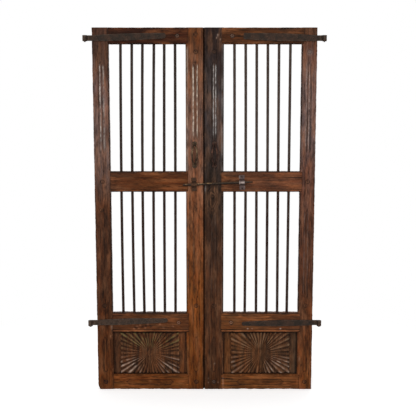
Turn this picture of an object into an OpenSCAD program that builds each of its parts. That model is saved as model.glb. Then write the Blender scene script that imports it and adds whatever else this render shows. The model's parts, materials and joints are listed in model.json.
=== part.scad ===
// A pair of old door leaves, closed and bolted. Each leaf is a mortise and
// tenon frame with two barred openings over a carved sunburst panel, and it
// hangs on two forged strap hinges.

/* [Leaves] */
// Height of both leaves
leaf_h = 1834; // [1700:1:2200]
// Width of the left leaf
left_leaf_w = 544; // [480:1:700]
// Width of the right leaf
right_leaf_w = 552; // [500:1:700]
// Thickness of the stiles and rails
leaf_t = 38; // [34:1:50]
// Gap between the two leaves at the front face
meeting_gap = 5.5; // [4.5:0.1:9]
// Gap between the lands that nearly close the joint inside
land_gap = 2; // [1.8:0.1:4]
// Depth of the lands behind the front face
land_depth = 12; // [8:1:14]
// Thickness of the lands, front to back
land_t = 6; // [3:1:8]

/* [Stiles] */
// Width of the left leaf's hinge stile
left_hinge_stile_w = 80; // [64:1:100]
// Width of the left leaf's meeting stile
left_meeting_stile_w = 87; // [70:1:110]
// Width of the right leaf's meeting stile
right_meeting_stile_w = 96; // [75:1:110]
// Width of the right leaf's hinge stile
right_hinge_stile_w = 75; // [64:1:100]
// Width of the slope worn and cut along a stile's opening edge
stile_slope_w = 14; // [4:1:20]
// Depth of that slope at the edge
stile_slope_d = 6; // [2:0.5:10]

/* [Rails] */
// Height of the top rail
top_rail_h = 80; // [70:1:110]
// Height of the middle rail's lower edge above the floor
middle_rail_z = 1027; // [900:1:1100]
// Height of the middle rail
middle_rail_h = 103; // [90:1:130]
// Height of the lower rail's lower edge above the floor
lower_rail_z = 304; // [250:1:400]
// Height of the lower rail
lower_rail_h = 101; // [80:1:130]
// Height of the bottom rail
bottom_rail_h = 79; // [66:1:110]
// Width of the slope along a rail's opening edge
rail_slope_w = 9; // [3:1:14]
// Depth of that slope at the edge
rail_slope_d = 5; // [2:0.5:8]
// Radius of the bead along the lower rail's bottom edge
bead_r = 7; // [4:0.5:12]
// How far the bead stands out of the face
bead_out = 4; // [1:0.5:6]

/* [Joinery] */
// Thickness of the tenons
tenon_t = 12; // [8:1:16]
// Length of the tenons
tenon_len = 45; // [25:1:55]
// Wood between a tenon and the panel groove
tenon_margin = 5; // [3:1:12]
// Clearance round a tenon in its mortise
joint_clear = 0.2; // [0.1:0.05:0.5]

/* [Carved panel] */
// Thickness of the tongue round the panel
tongue_t = 10; // [6:1:12]
// Length of the tongue that sits in the grooves
tongue_len = 10; // [6:1:12]
// Depth of the plain panel border behind the front face
border_recess = 13; // [11:0.5:14]
// Depth of the panel's back behind the back face
panel_back_recess = 9; // [4:0.5:10]
// Clearance round the panel
panel_clear = 0.3; // [0.2:0.05:0.8]
// Width of the carved field
burst_w = 302; // [200:1:330]
// Plain edge above and below the carved field
burst_edge = 5; // [2:0.5:20]
// How far the carved field stands out of the border
burst_rise = 6.5; // [6:0.5:9]
// Number of rays
ray_count = 40; // [24:2:48]
// Depth of the grooves at the sides of the carved field
groove_depth = 4.5; // [3:0.1:5]
// Half width of a groove at that depth
groove_half_w = 8.5; // [6:0.1:10]
// Radius of the plain hub where the rays start
hub_r = 27; // [18:1:36]
// How far the hub stands out of the rays
hub_rise = 1.5; // [0.5:0.1:3]

/* [Flutes and cartouches] */
// Width of one flute
flute_w = 8; // [4:0.5:10]
// Distance between the two flutes of a pair
flute_pitch = 17; // [12:0.5:24]
// Depth of the flutes
flute_depth = 2.5; // [1:0.1:4]
// Length of a flute's pointed end
flute_point = 14; // [10:1:60]
// Distance of the upper flutes below the top of the leaf
flute_drop = 172; // [120:1:260]
// Length of the upper flutes on a hinge stile
hinge_flute_len = 440; // [300:1:500]
// Length of the upper flutes on a meeting stile
meeting_flute_len = 375; // [200:1:380]
// How far the left meeting stile's carving stands off its middle, towards the gap
left_carving_shift = 6; // [0:1:8]
// Height of the lower flutes above the floor
low_flute_z = 97; // [70:1:140]
// Length of the lower flutes
low_flute_len = 175; // [110:1:180]
// Length of the cartouche cut in a bottom rail
cartouche_len = 240; // [150:1:280]
// Height of the cartouche
cartouche_h = 27; // [16:1:32]
// Depth of the cartouche
cartouche_depth = 2; // [1:0.1:4]

/* [Rosettes] */
// Outer diameter of a rosette's ring
rosette_d = 22; // [16:1:26]
// Width of the ring, and radius of the dot inside it
ring_w = 3; // [2:0.5:4]
// Depth of the ring and of the dot
ring_depth = 1.5; // [0.8:0.1:3]
// Distance of the upper rosettes above the flutes
rosette_gap = 55; // [20:1:60]
// Distance of the low rosettes above the lower rail
rosette_lift = 38; // [25:1:80]
// Distance of a rail's rosette from the meeting stile
rosette_inset = 40; // [20:1:44]

/* [Bars] */
// Diameter of the bars
bar_d = 13; // [9:0.5:14]
// Depth of the holes in the top and lower rails
bar_seat = 24; // [15:1:28]
// Clearance round a bar in its hole
bar_clear = 0.1; // [0.05:0.05:0.4]

/* [Strap hinges] */
// Length of a strap from the leaf's edge to its tip
strap_len = 361; // [320:1:380]
// Thickness of the strap
strap_t = 5; // [3:0.5:7]
// Width of the strap at the eye
strap_neck_w = 27; // [18:1:30]
// Width that the strap swells to
strap_wide_w = 35; // [30:1:44]
// Width of the strap at its tip
strap_tip_w = 20; // [10:1:24]
// Width of the left leaf's upper strap at its tip
broad_tip_w = 26; // [20:1:30]
// Width of the right leaf's upper strap at its square tip
square_tip_w = 30; // [24:1:34]
// Distance of the upper straps' eyes below the middle of the top rail
strap_drop = 11.5; // [0:0.5:14]
// Distance of the lower straps' eyes above the middle of the lower rail
strap_lift = 1.5; // [0:0.5:10]
// How far the left leaf's upper strap rises from its eye to its tip
left_top_rise = 12; // [0:0.5:14]
// How far the left leaf's lower strap rises from its eye to its tip
left_bottom_rise = 12; // [0:0.5:14]
// How far the right leaf's upper strap rises from its eye to its tip
right_top_rise = 9.5; // [0:0.5:14]
// How far the right leaf's lower strap falls from its eye to its tip
right_bottom_fall = 6; // [0:0.5:10]
// Outer diameter of the rolled eye
eye_d = 24; // [22:0.5:30]
// Distance of the eye's axis from the leaf's edge
eye_reach = 31.5; // [30:0.5:45]
// Gap where the rolled end meets the strap
seam_w = 1.2; // [0.5:0.1:1.5]

/* [Hinge pins] */
// Diameter of a pin inside its eye
pin_d = 12; // [8:0.5:13]
// Radial clearance of a pin in its eye
pin_clear = 0.05; // [0.02:0.01:0.1]
// Diameter of the collar that carries the eye
collar_d = 22; // [16:0.5:22]
// Thickness of the collar
collar_t = 1.5; // [1.5:0.5:4]
// Gap between the collar and the eye
collar_gap = 0.2; // [0.1:0.05:0.5]
// Diameter of the stub under the collar
stub_d = 8; // [7:0.5:12]
// Length of the stub
stub_len = 4; // [4:0.5:12]

/* [Bolt] */
// Height of the bolt above the floor
bolt_z = 1068; // [1060:1:1085]
// Diameter of the bolt
bolt_d = 11; // [8:0.5:13]
// How far the bolt leans, rising to the right, in degrees
bolt_lean = 2.5; // [0:0.5:3]
// How far the bolt reaches over the left leaf
bolt_left = 105; // [80:1:130]
// How far the bolt reaches past the right loop
bolt_past_guide = 53; // [30:1:110]
// Length of its tapered tail
tail_len = 40; // [12:1:60]
// Diameter of the tail's end
tail_d = 6; // [4:0.5:8]
// Clearance between the bolt, the loops and the wood
bolt_clear = 0.4; // [0.3:0.05:0.8]
// Distance of the left loop from the middle of the gap
keeper_x = 49; // [38:1:60]
// Height of the left loop
keeper_h = 68; // [60:1:72]
// Distance of the right loop from the bar beside it, towards the gap
guide_from_bar = 17; // [12:1:24]
// Height of the right loop
guide_h = 73; // [60:1:75]
// Width of the loops
loop_w = 28; // [20:1:34]
// Thickness of the loops
loop_t = 3; // [2:0.5:4]

/* [Pull handles] */
// Height of the middle of the pulls above the floor
pull_z = 1214; // [1205:1:1300]
// Distance of the left pull from the middle of the gap
left_pull_x = 46; // [40:1:55]
// Distance of the right pull from the middle of the gap
right_pull_x = 53; // [42:1:60]
// Height of the pulls
pull_h = 134; // [120:1:140]
// Width of the pulls
pull_w = 33; // [28:1:40]
// How far the pulls stand out of the face
pull_out = 30; // [26:1:45]
// Thickness of the bow
bow_t = 8; // [5:0.5:10]
// Width of each strand of the bow
strand_w = 8; // [5:0.5:9]
// Radius of the round feet
foot_r = 12; // [10:0.5:14]
// Thickness of the feet
foot_t = 4; // [2:0.5:6]
// How far the bow springs beyond the middle of its feet
bow_overlap = 3; // [1:0.5:6]

/* [Nails] */
// Nails in each strap
strap_nail_count = 5; // [4:1:5]
// Distance of the first nail from the leaf's edge
strap_nail_start = 24; // [18:1:30]
// Distance of the last nail from the strap's tip
strap_nail_end = 40; // [30:1:60]
// Diameter of a nail's head
nail_head_d = 9; // [6:0.5:11]
// Height of a nail's head
nail_head_h = 2.5; // [1.5:0.1:4]
// Diameter of a nail's shank
nail_d = 4; // [3:0.1:4.5]
// Length of a nail's shank
nail_len = 30; // [20:1:34]
// Clearance round a nail
nail_clear = 0.1; // [0.05:0.05:0.3]
// Distance of a nail from the end of a loop or pull
nail_edge = 7; // [6:0.5:9]

/* [Hidden] */
$fn = 48;
cut = 1;
left = 0;
right = 1;
bar_count = 6;
leaf_w = [left_leaf_w, right_leaf_w];
hinge_w = [left_hinge_stile_w, right_hinge_stile_w];
meeting_w = [left_meeting_stile_w, right_meeting_stile_w];
pull_x = [left_pull_x, right_pull_x];
carving_shift = [left_carving_shift, 0];

eye_r = eye_d / 2;
bolt_r = bolt_d / 2;
loop_r = bolt_r + bolt_clear;
bolt_out = loop_r;
hump_out = bolt_out + loop_r + loop_t;
front_out = max(pull_out, eye_d, hump_out);
side_reach = eye_reach + eye_r;
total_w = 2 * side_reach + left_leaf_w + meeting_gap + right_leaf_w;
front_y = (front_out - leaf_t) / 2;
edge_x = [side_reach - total_w / 2, total_w / 2 - side_reach];
gap_x = edge_x[left] + left_leaf_w + meeting_gap / 2;

top_rail_z = leaf_h - top_rail_h;
middle_rail_top = middle_rail_z + middle_rail_h;
lower_rail_top = lower_rail_z + lower_rail_h;
tenon_inset = tongue_len + tenon_margin;
strap_z = [leaf_h - top_rail_h / 2 - strap_drop, lower_rail_z + lower_rail_h / 2 + strap_lift];
panel_h = lower_rail_z - bottom_rail_h;
burst_h = panel_h - 2 * burst_edge;
swell_place = 0.9;
shoulder_w = groove_half_w * 0.4;
shoulder_h = groove_depth * 0.6;
shoulder_slope = (groove_depth - shoulder_h) / (groove_half_w - shoulder_w);
groove_tilt = atan(groove_depth / (burst_w / 2 - hub_r));
groove_reach = sqrt(pow(burst_w, 2) + pow(burst_h, 2)) / 2 + cut;
bow_half = pull_h / 2 - foot_r + bow_overlap;
nail_step = (strap_len - strap_nail_end - strap_nail_start) / (strap_nail_count - 1);
guide_x = from_gap(right, bar_u(right, bar_count - 1) + guide_from_bar);
bolt_right = guide_x + bolt_past_guide;
tip_w = [[broad_tip_w, strap_tip_w], [square_tip_w, strap_tip_w]];
strap_rise = [[left_top_rise, left_bottom_rise], [right_top_rise, -right_bottom_fall]];

rosette_top_z = leaf_h - flute_drop + rosette_gap;
rosette_low_z = lower_rail_top + rosette_lift;
rosette_foot_z = bottom_rail_h / 2;
middle_rail_mid = middle_rail_z + middle_rail_h / 2;
meeting_rosettes = [rosette_top_z, rosette_low_z, rosette_foot_z];
hinge_rosettes = [
    [middle_rail_mid, rosette_low_z, rosette_foot_z],
    [rosette_top_z, middle_rail_mid, rosette_low_z, rosette_foot_z]
];

warm_teak = [0.45, 0.27, 0.16];
mid_teak = [0.38, 0.22, 0.12];
dark_teak = [0.26, 0.19, 0.17];
panel_teak = [0.32, 0.21, 0.14];
bar_iron = [0.2, 0.16, 0.14];
strap_iron = [0.25, 0.2, 0.18];

// Width of a leaf's opening between its stiles
function opening_w(leaf) = leaf_w[leaf] - hinge_w[leaf] - meeting_w[leaf];

// Distance of a bar from the leaf's hinge edge
function bar_u(leaf, n) = hinge_w[leaf] + n * opening_w(leaf) / (bar_count + 1);

// Distance from the hinge edge of a point given from the middle of the gap
function from_gap(leaf, x) = leaf_w[leaf] + meeting_gap / 2 - x;

// Half width of a strap at distance s from the leaf's edge
function strap_half_w(s, tip) =
    let (part = max(s, 0) / strap_len)
    (strap_neck_w + (tip - strap_neck_w) * part) / 2
    + (strap_wide_w - strap_neck_w) / 2 * sin(180 * pow(part, swell_place));

// Height of a strap's middle line at distance s from the leaf's edge
function strap_mid_z(leaf, level, s) = strap_z[level] + strap_rise[leaf][level] * max(s, 0) / strap_len;

// Distance of a strap's nail from the leaf's edge
function strap_nail_u(k) = strap_nail_start + k * nail_step;

// A leaf is drawn from its hinge edge towards the gap, with its front face at y = 0
module place(leaf) {
    translate([edge_x[leaf], front_y, 0])
        mirror([leaf, 0, 0])
            children();
}

// A flat shape standing against the front face, drawn as seen from the front
module out_of_face(thickness) {
    rotate([90, 0, 0])
        linear_extrude(thickness)
            children();
}

// A section drawn in depth and height, carried along the width
module along_width(length) {
    rotate([90, 0, 90])
        linear_extrude(length)
            children();
}

module slope_along_stile(u, z, length, side) {
    translate([u, 0, z])
        linear_extrude(length)
            polygon([[side * cut, -cut], [-side * stile_slope_w, -cut], [-side * stile_slope_w, 0],
                [0, stile_slope_d], [side * cut, stile_slope_d]]);
}

module slope_along_rail(leaf, z, side) {
    translate([hinge_w[leaf] - cut, 0, z])
        along_width(opening_w(leaf) + 2 * cut)
            polygon([[-cut, side * cut], [-cut, -side * rail_slope_w], [0, -side * rail_slope_w],
                [rail_slope_d, 0], [rail_slope_d, side * cut]]);
}

module flute(u, z, length) {
    translate([u, flute_depth, z])
        out_of_face(flute_depth + cut)
            polygon([[0, 0], [flute_w / 2, flute_point], [flute_w / 2, length - flute_point],
                [0, length], [-flute_w / 2, length - flute_point], [-flute_w / 2, flute_point]]);
}

module flute_pair(u, z, length) {
    for (side = [-1, 1])
        flute(u + side * flute_pitch / 2, z, length);
}

// A ring with a dot in it, cut into the face
module rosette(u, z) {
    translate([u, 0, z])
        rotate([-90, 0, 0]) {
            difference() {
                translate([0, 0, -cut])
                    cylinder(d = rosette_d, h = ring_depth + cut);
                translate([0, 0, -2 * cut])
                    cylinder(d = rosette_d - 2 * ring_w, h = ring_depth + 3 * cut);
            }
            translate([0, 0, -cut])
                cylinder(r = ring_w, h = ring_depth + cut);
        }
}

module tenon_solid(leaf, z, height, grow) {
    translate([hinge_w[leaf] - tenon_len - grow, (leaf_t - tenon_t) / 2 - grow, z + tenon_inset - grow])
        cube([opening_w(leaf) + 2 * (tenon_len + grow), tenon_t + 2 * grow,
            height - 2 * (tenon_inset - grow)]);
}

module all_tenons(leaf, grow) {
    tenon_solid(leaf, top_rail_z, top_rail_h, grow);
    tenon_solid(leaf, middle_rail_z, middle_rail_h, grow);
    tenon_solid(leaf, lower_rail_z, lower_rail_h, grow);
    tenon_solid(leaf, 0, bottom_rail_h, grow);
}

// The tongue round the panel, or the groove that holds it
module panel_tongue(leaf, gap) {
    reach = tongue_len + gap;
    translate([hinge_w[leaf] - reach, (leaf_t - tongue_t) / 2 - gap, bottom_rail_h - reach])
        cube([opening_w(leaf) + 2 * reach, tongue_t + 2 * gap, panel_h + 2 * reach]);
}

module bar_holes(leaf) {
    for (n = [1:bar_count])
        bar_rod(leaf, n, bar_clear);
}

module bar_rod(leaf, n, gap) {
    translate([bar_u(leaf, n), leaf_t / 2, lower_rail_top - bar_seat - gap])
        cylinder(d = bar_d + 2 * gap, h = top_rail_z - lower_rail_top + 2 * (bar_seat + gap));
}

// Leans a leaf's share of the bolt about the middle of the gap
module lean_with_bolt(leaf) {
    pivot = [from_gap(leaf, 0), 0, bolt_z];
    translate(pivot)
        rotate([0, leaf == left ? -bolt_lean : bolt_lean, 0])
            translate(-pivot)
                children();
}

// Places of the nails, as distance from the hinge edge, depth and height
module at_strap_nails(leaf, level, depth) {
    for (k = [0:strap_nail_count - 1])
        translate([strap_nail_u(k), depth, strap_mid_z(leaf, level, strap_nail_u(k))])
            children();
}

module at_loop_nails(leaf) {
    lean_with_bolt(leaf)
        for (side = [-1, 1])
            translate([loop_u(leaf), -loop_t, bolt_z + side * (loop_h(leaf) / 2 - nail_edge)])
                children();
}

module at_pull_nails(leaf) {
    for (side = [-1, 1])
        translate([from_gap(leaf, pull_x[leaf]), -foot_t, pull_z + side * (pull_h / 2 - nail_edge)])
            children();
}

function loop_u(leaf) = from_gap(leaf, leaf == left ? keeper_x : guide_x);
function loop_h(leaf) = leaf == left ? keeper_h : guide_h;

module nail() {
    rotate([90, 0, 0]) {
        translate([0, 0, -nail_len])
            cylinder(d = nail_d, h = nail_len);
        cylinder(d1 = nail_head_d, d2 = nail_head_d / 2, h = nail_head_h);
    }
}

module nail_hole() {
    translate([0, -cut, 0])
        rotate([-90, 0, 0])
            cylinder(d = nail_d + 2 * nail_clear, h = nail_len + nail_clear + cut);
}

module all_nail_holes(leaf) {
    for (level = [0, 1])
        at_strap_nails(leaf, level, -strap_t) nail_hole();
    at_loop_nails(leaf) nail_hole();
    at_pull_nails(leaf) nail_hole();
}

module hinge_stile(leaf) {
    mid = hinge_w[leaf] / 2;
    color(mid_teak)
        place(leaf)
            difference() {
                cube([hinge_w[leaf], leaf_t, leaf_h]);
                all_tenons(leaf, joint_clear);
                panel_tongue(leaf, panel_clear);
                slope_along_stile(hinge_w[leaf], middle_rail_top, top_rail_z - middle_rail_top, 1);
                slope_along_stile(hinge_w[leaf], lower_rail_top, middle_rail_z - lower_rail_top, 1);
                flute_pair(mid, leaf_h - flute_drop - hinge_flute_len, hinge_flute_len);
                flute_pair(mid, low_flute_z, low_flute_len);
                for (z = hinge_rosettes[leaf])
                    rosette(mid, z);
                all_nail_holes(leaf);
            }
}

module meeting_stile(leaf) {
    inner = leaf_w[leaf] - meeting_w[leaf];
    mid = inner + meeting_w[leaf] / 2 + carving_shift[leaf];
    color(leaf == left ? warm_teak : dark_teak)
        place(leaf)
            difference() {
                union() {
                    translate([inner, 0, 0])
                        cube([meeting_w[leaf], leaf_t, leaf_h]);
                    translate([leaf_w[leaf] - cut, land_depth, 0])
                        cube([cut + (meeting_gap - land_gap) / 2, land_t, leaf_h]);
                }
                all_tenons(leaf, joint_clear);
                panel_tongue(leaf, panel_clear);
                slope_along_stile(inner, middle_rail_top, top_rail_z - middle_rail_top, -1);
                slope_along_stile(inner, lower_rail_top, middle_rail_z - lower_rail_top, -1);
                flute_pair(mid, leaf_h - flute_drop - meeting_flute_len, meeting_flute_len);
                flute_pair(mid, low_flute_z, low_flute_len);
                for (z = meeting_rosettes)
                    rosette(mid, z);
                all_nail_holes(leaf);
            }
}

module rail_rosette(leaf, z, height) {
    rosette(hinge_w[leaf] + opening_w(leaf) - rosette_inset, z + height / 2);
}

module rail_blank(leaf, z, height) {
    translate([hinge_w[leaf], 0, z])
        cube([opening_w(leaf), leaf_t, height]);
    tenon_solid(leaf, z, height, 0);
}

module top_rail(leaf) {
    color(mid_teak)
        place(leaf)
            difference() {
                rail_blank(leaf, top_rail_z, top_rail_h);
                slope_along_rail(leaf, top_rail_z, -1);
                rail_rosette(leaf, top_rail_z, top_rail_h);
                bar_holes(leaf);
                all_nail_holes(leaf);
            }
}

module middle_rail(leaf) {
    color(mid_teak)
        place(leaf)
            difference() {
                rail_blank(leaf, middle_rail_z, middle_rail_h);
                slope_along_rail(leaf, middle_rail_z, -1);
                slope_along_rail(leaf, middle_rail_top, 1);
                bar_holes(leaf);
                all_nail_holes(leaf);
            }
}

module lower_rail(leaf) {
    color(mid_teak)
        place(leaf)
            difference() {
                union() {
                    rail_blank(leaf, lower_rail_z, lower_rail_h);
                    translate([hinge_w[leaf], bead_r - bead_out, lower_rail_z + bead_r])
                        rotate([0, 90, 0])
                            cylinder(r = bead_r, h = opening_w(leaf));
                }
                slope_along_rail(leaf, lower_rail_top, 1);
                rail_rosette(leaf, lower_rail_z, lower_rail_h);
                panel_tongue(leaf, panel_clear);
                bar_holes(leaf);
                all_nail_holes(leaf);
            }
}

module bottom_rail(leaf) {
    color(mid_teak)
        place(leaf)
            difference() {
                rail_blank(leaf, 0, bottom_rail_h);
                panel_tongue(leaf, panel_clear);
                translate([hinge_w[leaf] + opening_w(leaf) / 2, cartouche_depth, bottom_rail_h / 2])
                    out_of_face(cartouche_depth + cut)
                        cartouche_outline();
            }
}

// A long field with a point at each end
module cartouche_outline() {
    side = (cartouche_len - cartouche_h) / 2;
    polygon([[-cartouche_len / 2, 0], [-side, -cartouche_h / 2], [side, -cartouche_h / 2],
        [cartouche_len / 2, 0], [side, cartouche_h / 2], [-side, cartouche_h / 2]]);
}

// One groove between two rays. It starts at the hub and, tilted, gets deeper
// and wider towards the edge, and its sides flatten so that each ray is rounded.
module ray_groove() {
    rim_w = 2 * groove_half_w;
    rim_h = shoulder_h + shoulder_slope * (rim_w - shoulder_w);
    translate([hub_r, 0, 0])
        rotate([0, groove_tilt, 0])
            along_width(groove_reach)
                polygon([[0, 0], [shoulder_w, shoulder_h], [rim_w, rim_h], [rim_w, rim_h + cut],
                    [-rim_w, rim_h + cut], [-rim_w, rim_h], [-shoulder_w, shoulder_h]]);
}

module carved_panel(leaf) {
    border_t = leaf_t - border_recess - panel_back_recess;
    color(panel_teak)
        place(leaf) {
            panel_tongue(leaf, -panel_clear);
            translate([hinge_w[leaf] + panel_clear, border_recess, bottom_rail_h + panel_clear])
                cube([opening_w(leaf) - 2 * panel_clear, border_t, panel_h - 2 * panel_clear]);
            translate([hinge_w[leaf] + opening_w(leaf) / 2, border_recess, bottom_rail_h + panel_h / 2])
                rotate([90, 0, 0])
                    sunburst();
        }
}

// The carved field, lying flat with its rays facing up
module sunburst() {
    difference() {
        translate([-burst_w / 2, -burst_h / 2, 0])
            cube([burst_w, burst_h, burst_rise]);
        translate([0, 0, burst_rise])
            for (k = [0:ray_count - 1])
                rotate([0, 0, (k + 0.5) * 360 / ray_count])
                    ray_groove();
    }
    cylinder(r = hub_r, h = burst_rise + hub_rise);
}

module bar(leaf, n) {
    color(bar_iron)
        place(leaf)
            bar_rod(leaf, n, 0);
}

// A forged strap on the face of the leaf, its end rolled forward into an eye
module strap(leaf, level) {
    steps = 26;
    tip = tip_w[leaf][level];
    places = [for (k = [0:steps]) strap_len * k / steps];
    upper = [for (s = places) [s, strap_mid_z(leaf, level, s) + strap_half_w(s, tip)]];
    lower = [for (k = [steps:-1:0]) [places[k], 2 * strap_mid_z(leaf, level, places[k]) - upper[k][1]]];
    color(strap_iron)
        place(leaf)
            difference() {
                union() {
                    out_of_face(strap_t)
                        polygon(concat(upper, lower));
                    translate([-eye_reach, -strap_t, strap_z[level] - strap_neck_w / 2])
                        cube([eye_reach + cut, strap_t, strap_neck_w]);
                    translate([-eye_reach, -eye_r, strap_z[level] - strap_neck_w / 2])
                        cylinder(d = eye_d, h = strap_neck_w);
                }
                translate([-eye_reach, -eye_r, strap_z[level] - strap_neck_w / 2 - cut])
                    cylinder(d = pin_d + 2 * pin_clear, h = strap_neck_w + 2 * cut);
                translate([-eye_reach, -strap_t - seam_w, strap_z[level] - strap_neck_w / 2 - cut])
                    cube([eye_r + cut, seam_w, strap_neck_w + 2 * cut]);
                at_strap_nails(leaf, level, -strap_t) nail_hole();
            }
}

// A pin inside an eye, with the collar that carries the eye and a stub below
module hinge_pin(leaf, level) {
    base = strap_z[level] - strap_neck_w / 2 - collar_gap;
    color(bar_iron)
        place(leaf)
            translate([-eye_reach, -eye_r, base]) {
                translate([0, 0, -collar_t])
                    cylinder(d = pin_d, h = collar_t + collar_gap + strap_neck_w);
                translate([0, 0, -collar_t])
                    cylinder(d = collar_d, h = collar_t);
                translate([0, 0, -collar_t - stub_len])
                    cylinder(d = stub_d, h = stub_len + cut);
            }
}

// A strip nailed above and below the bolt and bent out over it
module bolt_loop(leaf) {
    color(strap_iron)
        place(leaf)
            difference() {
                lean_with_bolt(leaf)
                    translate([loop_u(leaf) - loop_w / 2, 0, bolt_z])
                        along_width(loop_w)
                            loop_section(loop_h(leaf));
                at_loop_nails(leaf) nail_hole();
            }
}

// Two flat feet and the hump between them, in depth and height
module loop_section(height) {
    difference() {
        union() {
            translate([-loop_t, -height / 2])
                square([loop_t, height]);
            translate([-bolt_out, 0])
                circle(r = loop_r + loop_t);
        }
        translate([-bolt_out, 0])
            circle(r = loop_r);
        translate([-bolt_out, -loop_r])
            square([bolt_out + cut, 2 * loop_r]);
        translate([0, -height / 2])
            square([hump_out, height]);
    }
}

module bolt() {
    color(strap_iron)
        translate([gap_x, front_y - bolt_out, bolt_z])
            rotate([0, 90 - bolt_lean, 0]) {
                translate([0, 0, -bolt_left])
                    cylinder(d = bolt_d, h = bolt_left + bolt_right - tail_len);
                translate([0, 0, bolt_right - tail_len])
                    cylinder(d1 = bolt_d, d2 = tail_d, h = tail_len);
            }
}

// A pointed oval between two wide arcs
module pointed_oval(width, height) {
    r = (pow(height, 2) + pow(width, 2)) / (4 * width);
    intersection_for (side = [-1, 1])
        translate([side * (r - width / 2), 0])
            circle(r = r, $fn = 120);
}

// An open bow that springs from two round feet
module pull(leaf) {
    bow_r = (pow(bow_half, 2) + pow(pull_out, 2)) / (2 * pull_out);
    color(bar_iron)
        place(leaf)
            difference() {
                translate([from_gap(leaf, pull_x[leaf]), 0, pull_z]) {
                    intersection() {
                        out_of_face(pull_out)
                            difference() {
                                pointed_oval(pull_w, pull_h);
                                pointed_oval(pull_w - 2 * strand_w, 2 * (bow_half - bow_t));
                            }
                        translate([-pull_w / 2, bow_r - pull_out, 0])
                            along_width(pull_w)
                                difference() {
                                    circle(r = bow_r, $fn = 120);
                                    circle(r = bow_r - bow_t, $fn = 120);
                                }
                    }
                    for (side = [-1, 1])
                        translate([0, 0, side * (pull_h / 2 - foot_r)])
                            out_of_face(foot_t)
                                circle(r = foot_r);
                }
                at_pull_nails(leaf) nail_hole();
            }
}

module strap_nails(leaf) {
    color(bar_iron)
        place(leaf)
            for (level = [0, 1])
                at_strap_nails(leaf, level, -strap_t) nail();
}

module loop_nails(leaf) {
    color(bar_iron)
        place(leaf)
            at_loop_nails(leaf) nail();
}

module pull_nails(leaf) {
    color(bar_iron)
        place(leaf)
            at_pull_nails(leaf) nail();
}

hinge_stile(left);  // left_hinge_stile
meeting_stile(left);  // left_meeting_stile
top_rail(left);  // left_top_rail
middle_rail(left);  // left_middle_rail
lower_rail(left);  // left_lower_rail
bottom_rail(left);  // left_bottom_rail
carved_panel(left);  // left_carved_panel
bar(left, 1);  // left_bar_1
bar(left, 2);  // left_bar_2
bar(left, 3);  // left_bar_3
bar(left, 4);  // left_bar_4
bar(left, 5);  // left_bar_5
bar(left, 6);  // left_bar_6
strap(left, 0);  // left_top_strap
strap(left, 1);  // left_bottom_strap
strap_nails(left);  // left_strap_nails
bolt_loop(left);  // left_bolt_loop
loop_nails(left);  // left_loop_nails
pull(left);  // left_pull
pull_nails(left);  // left_pull_nails
hinge_stile(right);  // right_hinge_stile
meeting_stile(right);  // right_meeting_stile
top_rail(right);  // right_top_rail
middle_rail(right);  // right_middle_rail
lower_rail(right);  // right_lower_rail
bottom_rail(right);  // right_bottom_rail
carved_panel(right);  // right_carved_panel
bar(right, 1);  // right_bar_1
bar(right, 2);  // right_bar_2
bar(right, 3);  // right_bar_3
bar(right, 4);  // right_bar_4
bar(right, 5);  // right_bar_5
bar(right, 6);  // right_bar_6
strap(right, 0);  // right_top_strap
strap(right, 1);  // right_bottom_strap
strap_nails(right);  // right_strap_nails
bolt_loop(right);  // right_bolt_loop
loop_nails(right);  // right_loop_nails
pull(right);  // right_pull
pull_nails(right);  // right_pull_nails
bolt();
hinge_pin(left, 0);  // left_top_pin
hinge_pin(left, 1);  // left_bottom_pin
hinge_pin(right, 0);  // right_top_pin
hinge_pin(right, 1);  // right_bottom_pin
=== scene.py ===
# %% [markdown]
# # A pair of old carved door leaves
#
# Two teak leaves stand closed and bolted. Each has two stiles, four rails, a carved sunburst
# panel, six iron bars, two strap hinges and a bow pull. The construction comes in as fixed
# meshes that give every place and size. This lesson dresses it: each piece is made again as a
# worn surface in the same place, with numpy working out the shape and nodes the finish.

# %% Load the frame
import json
import math

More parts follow.
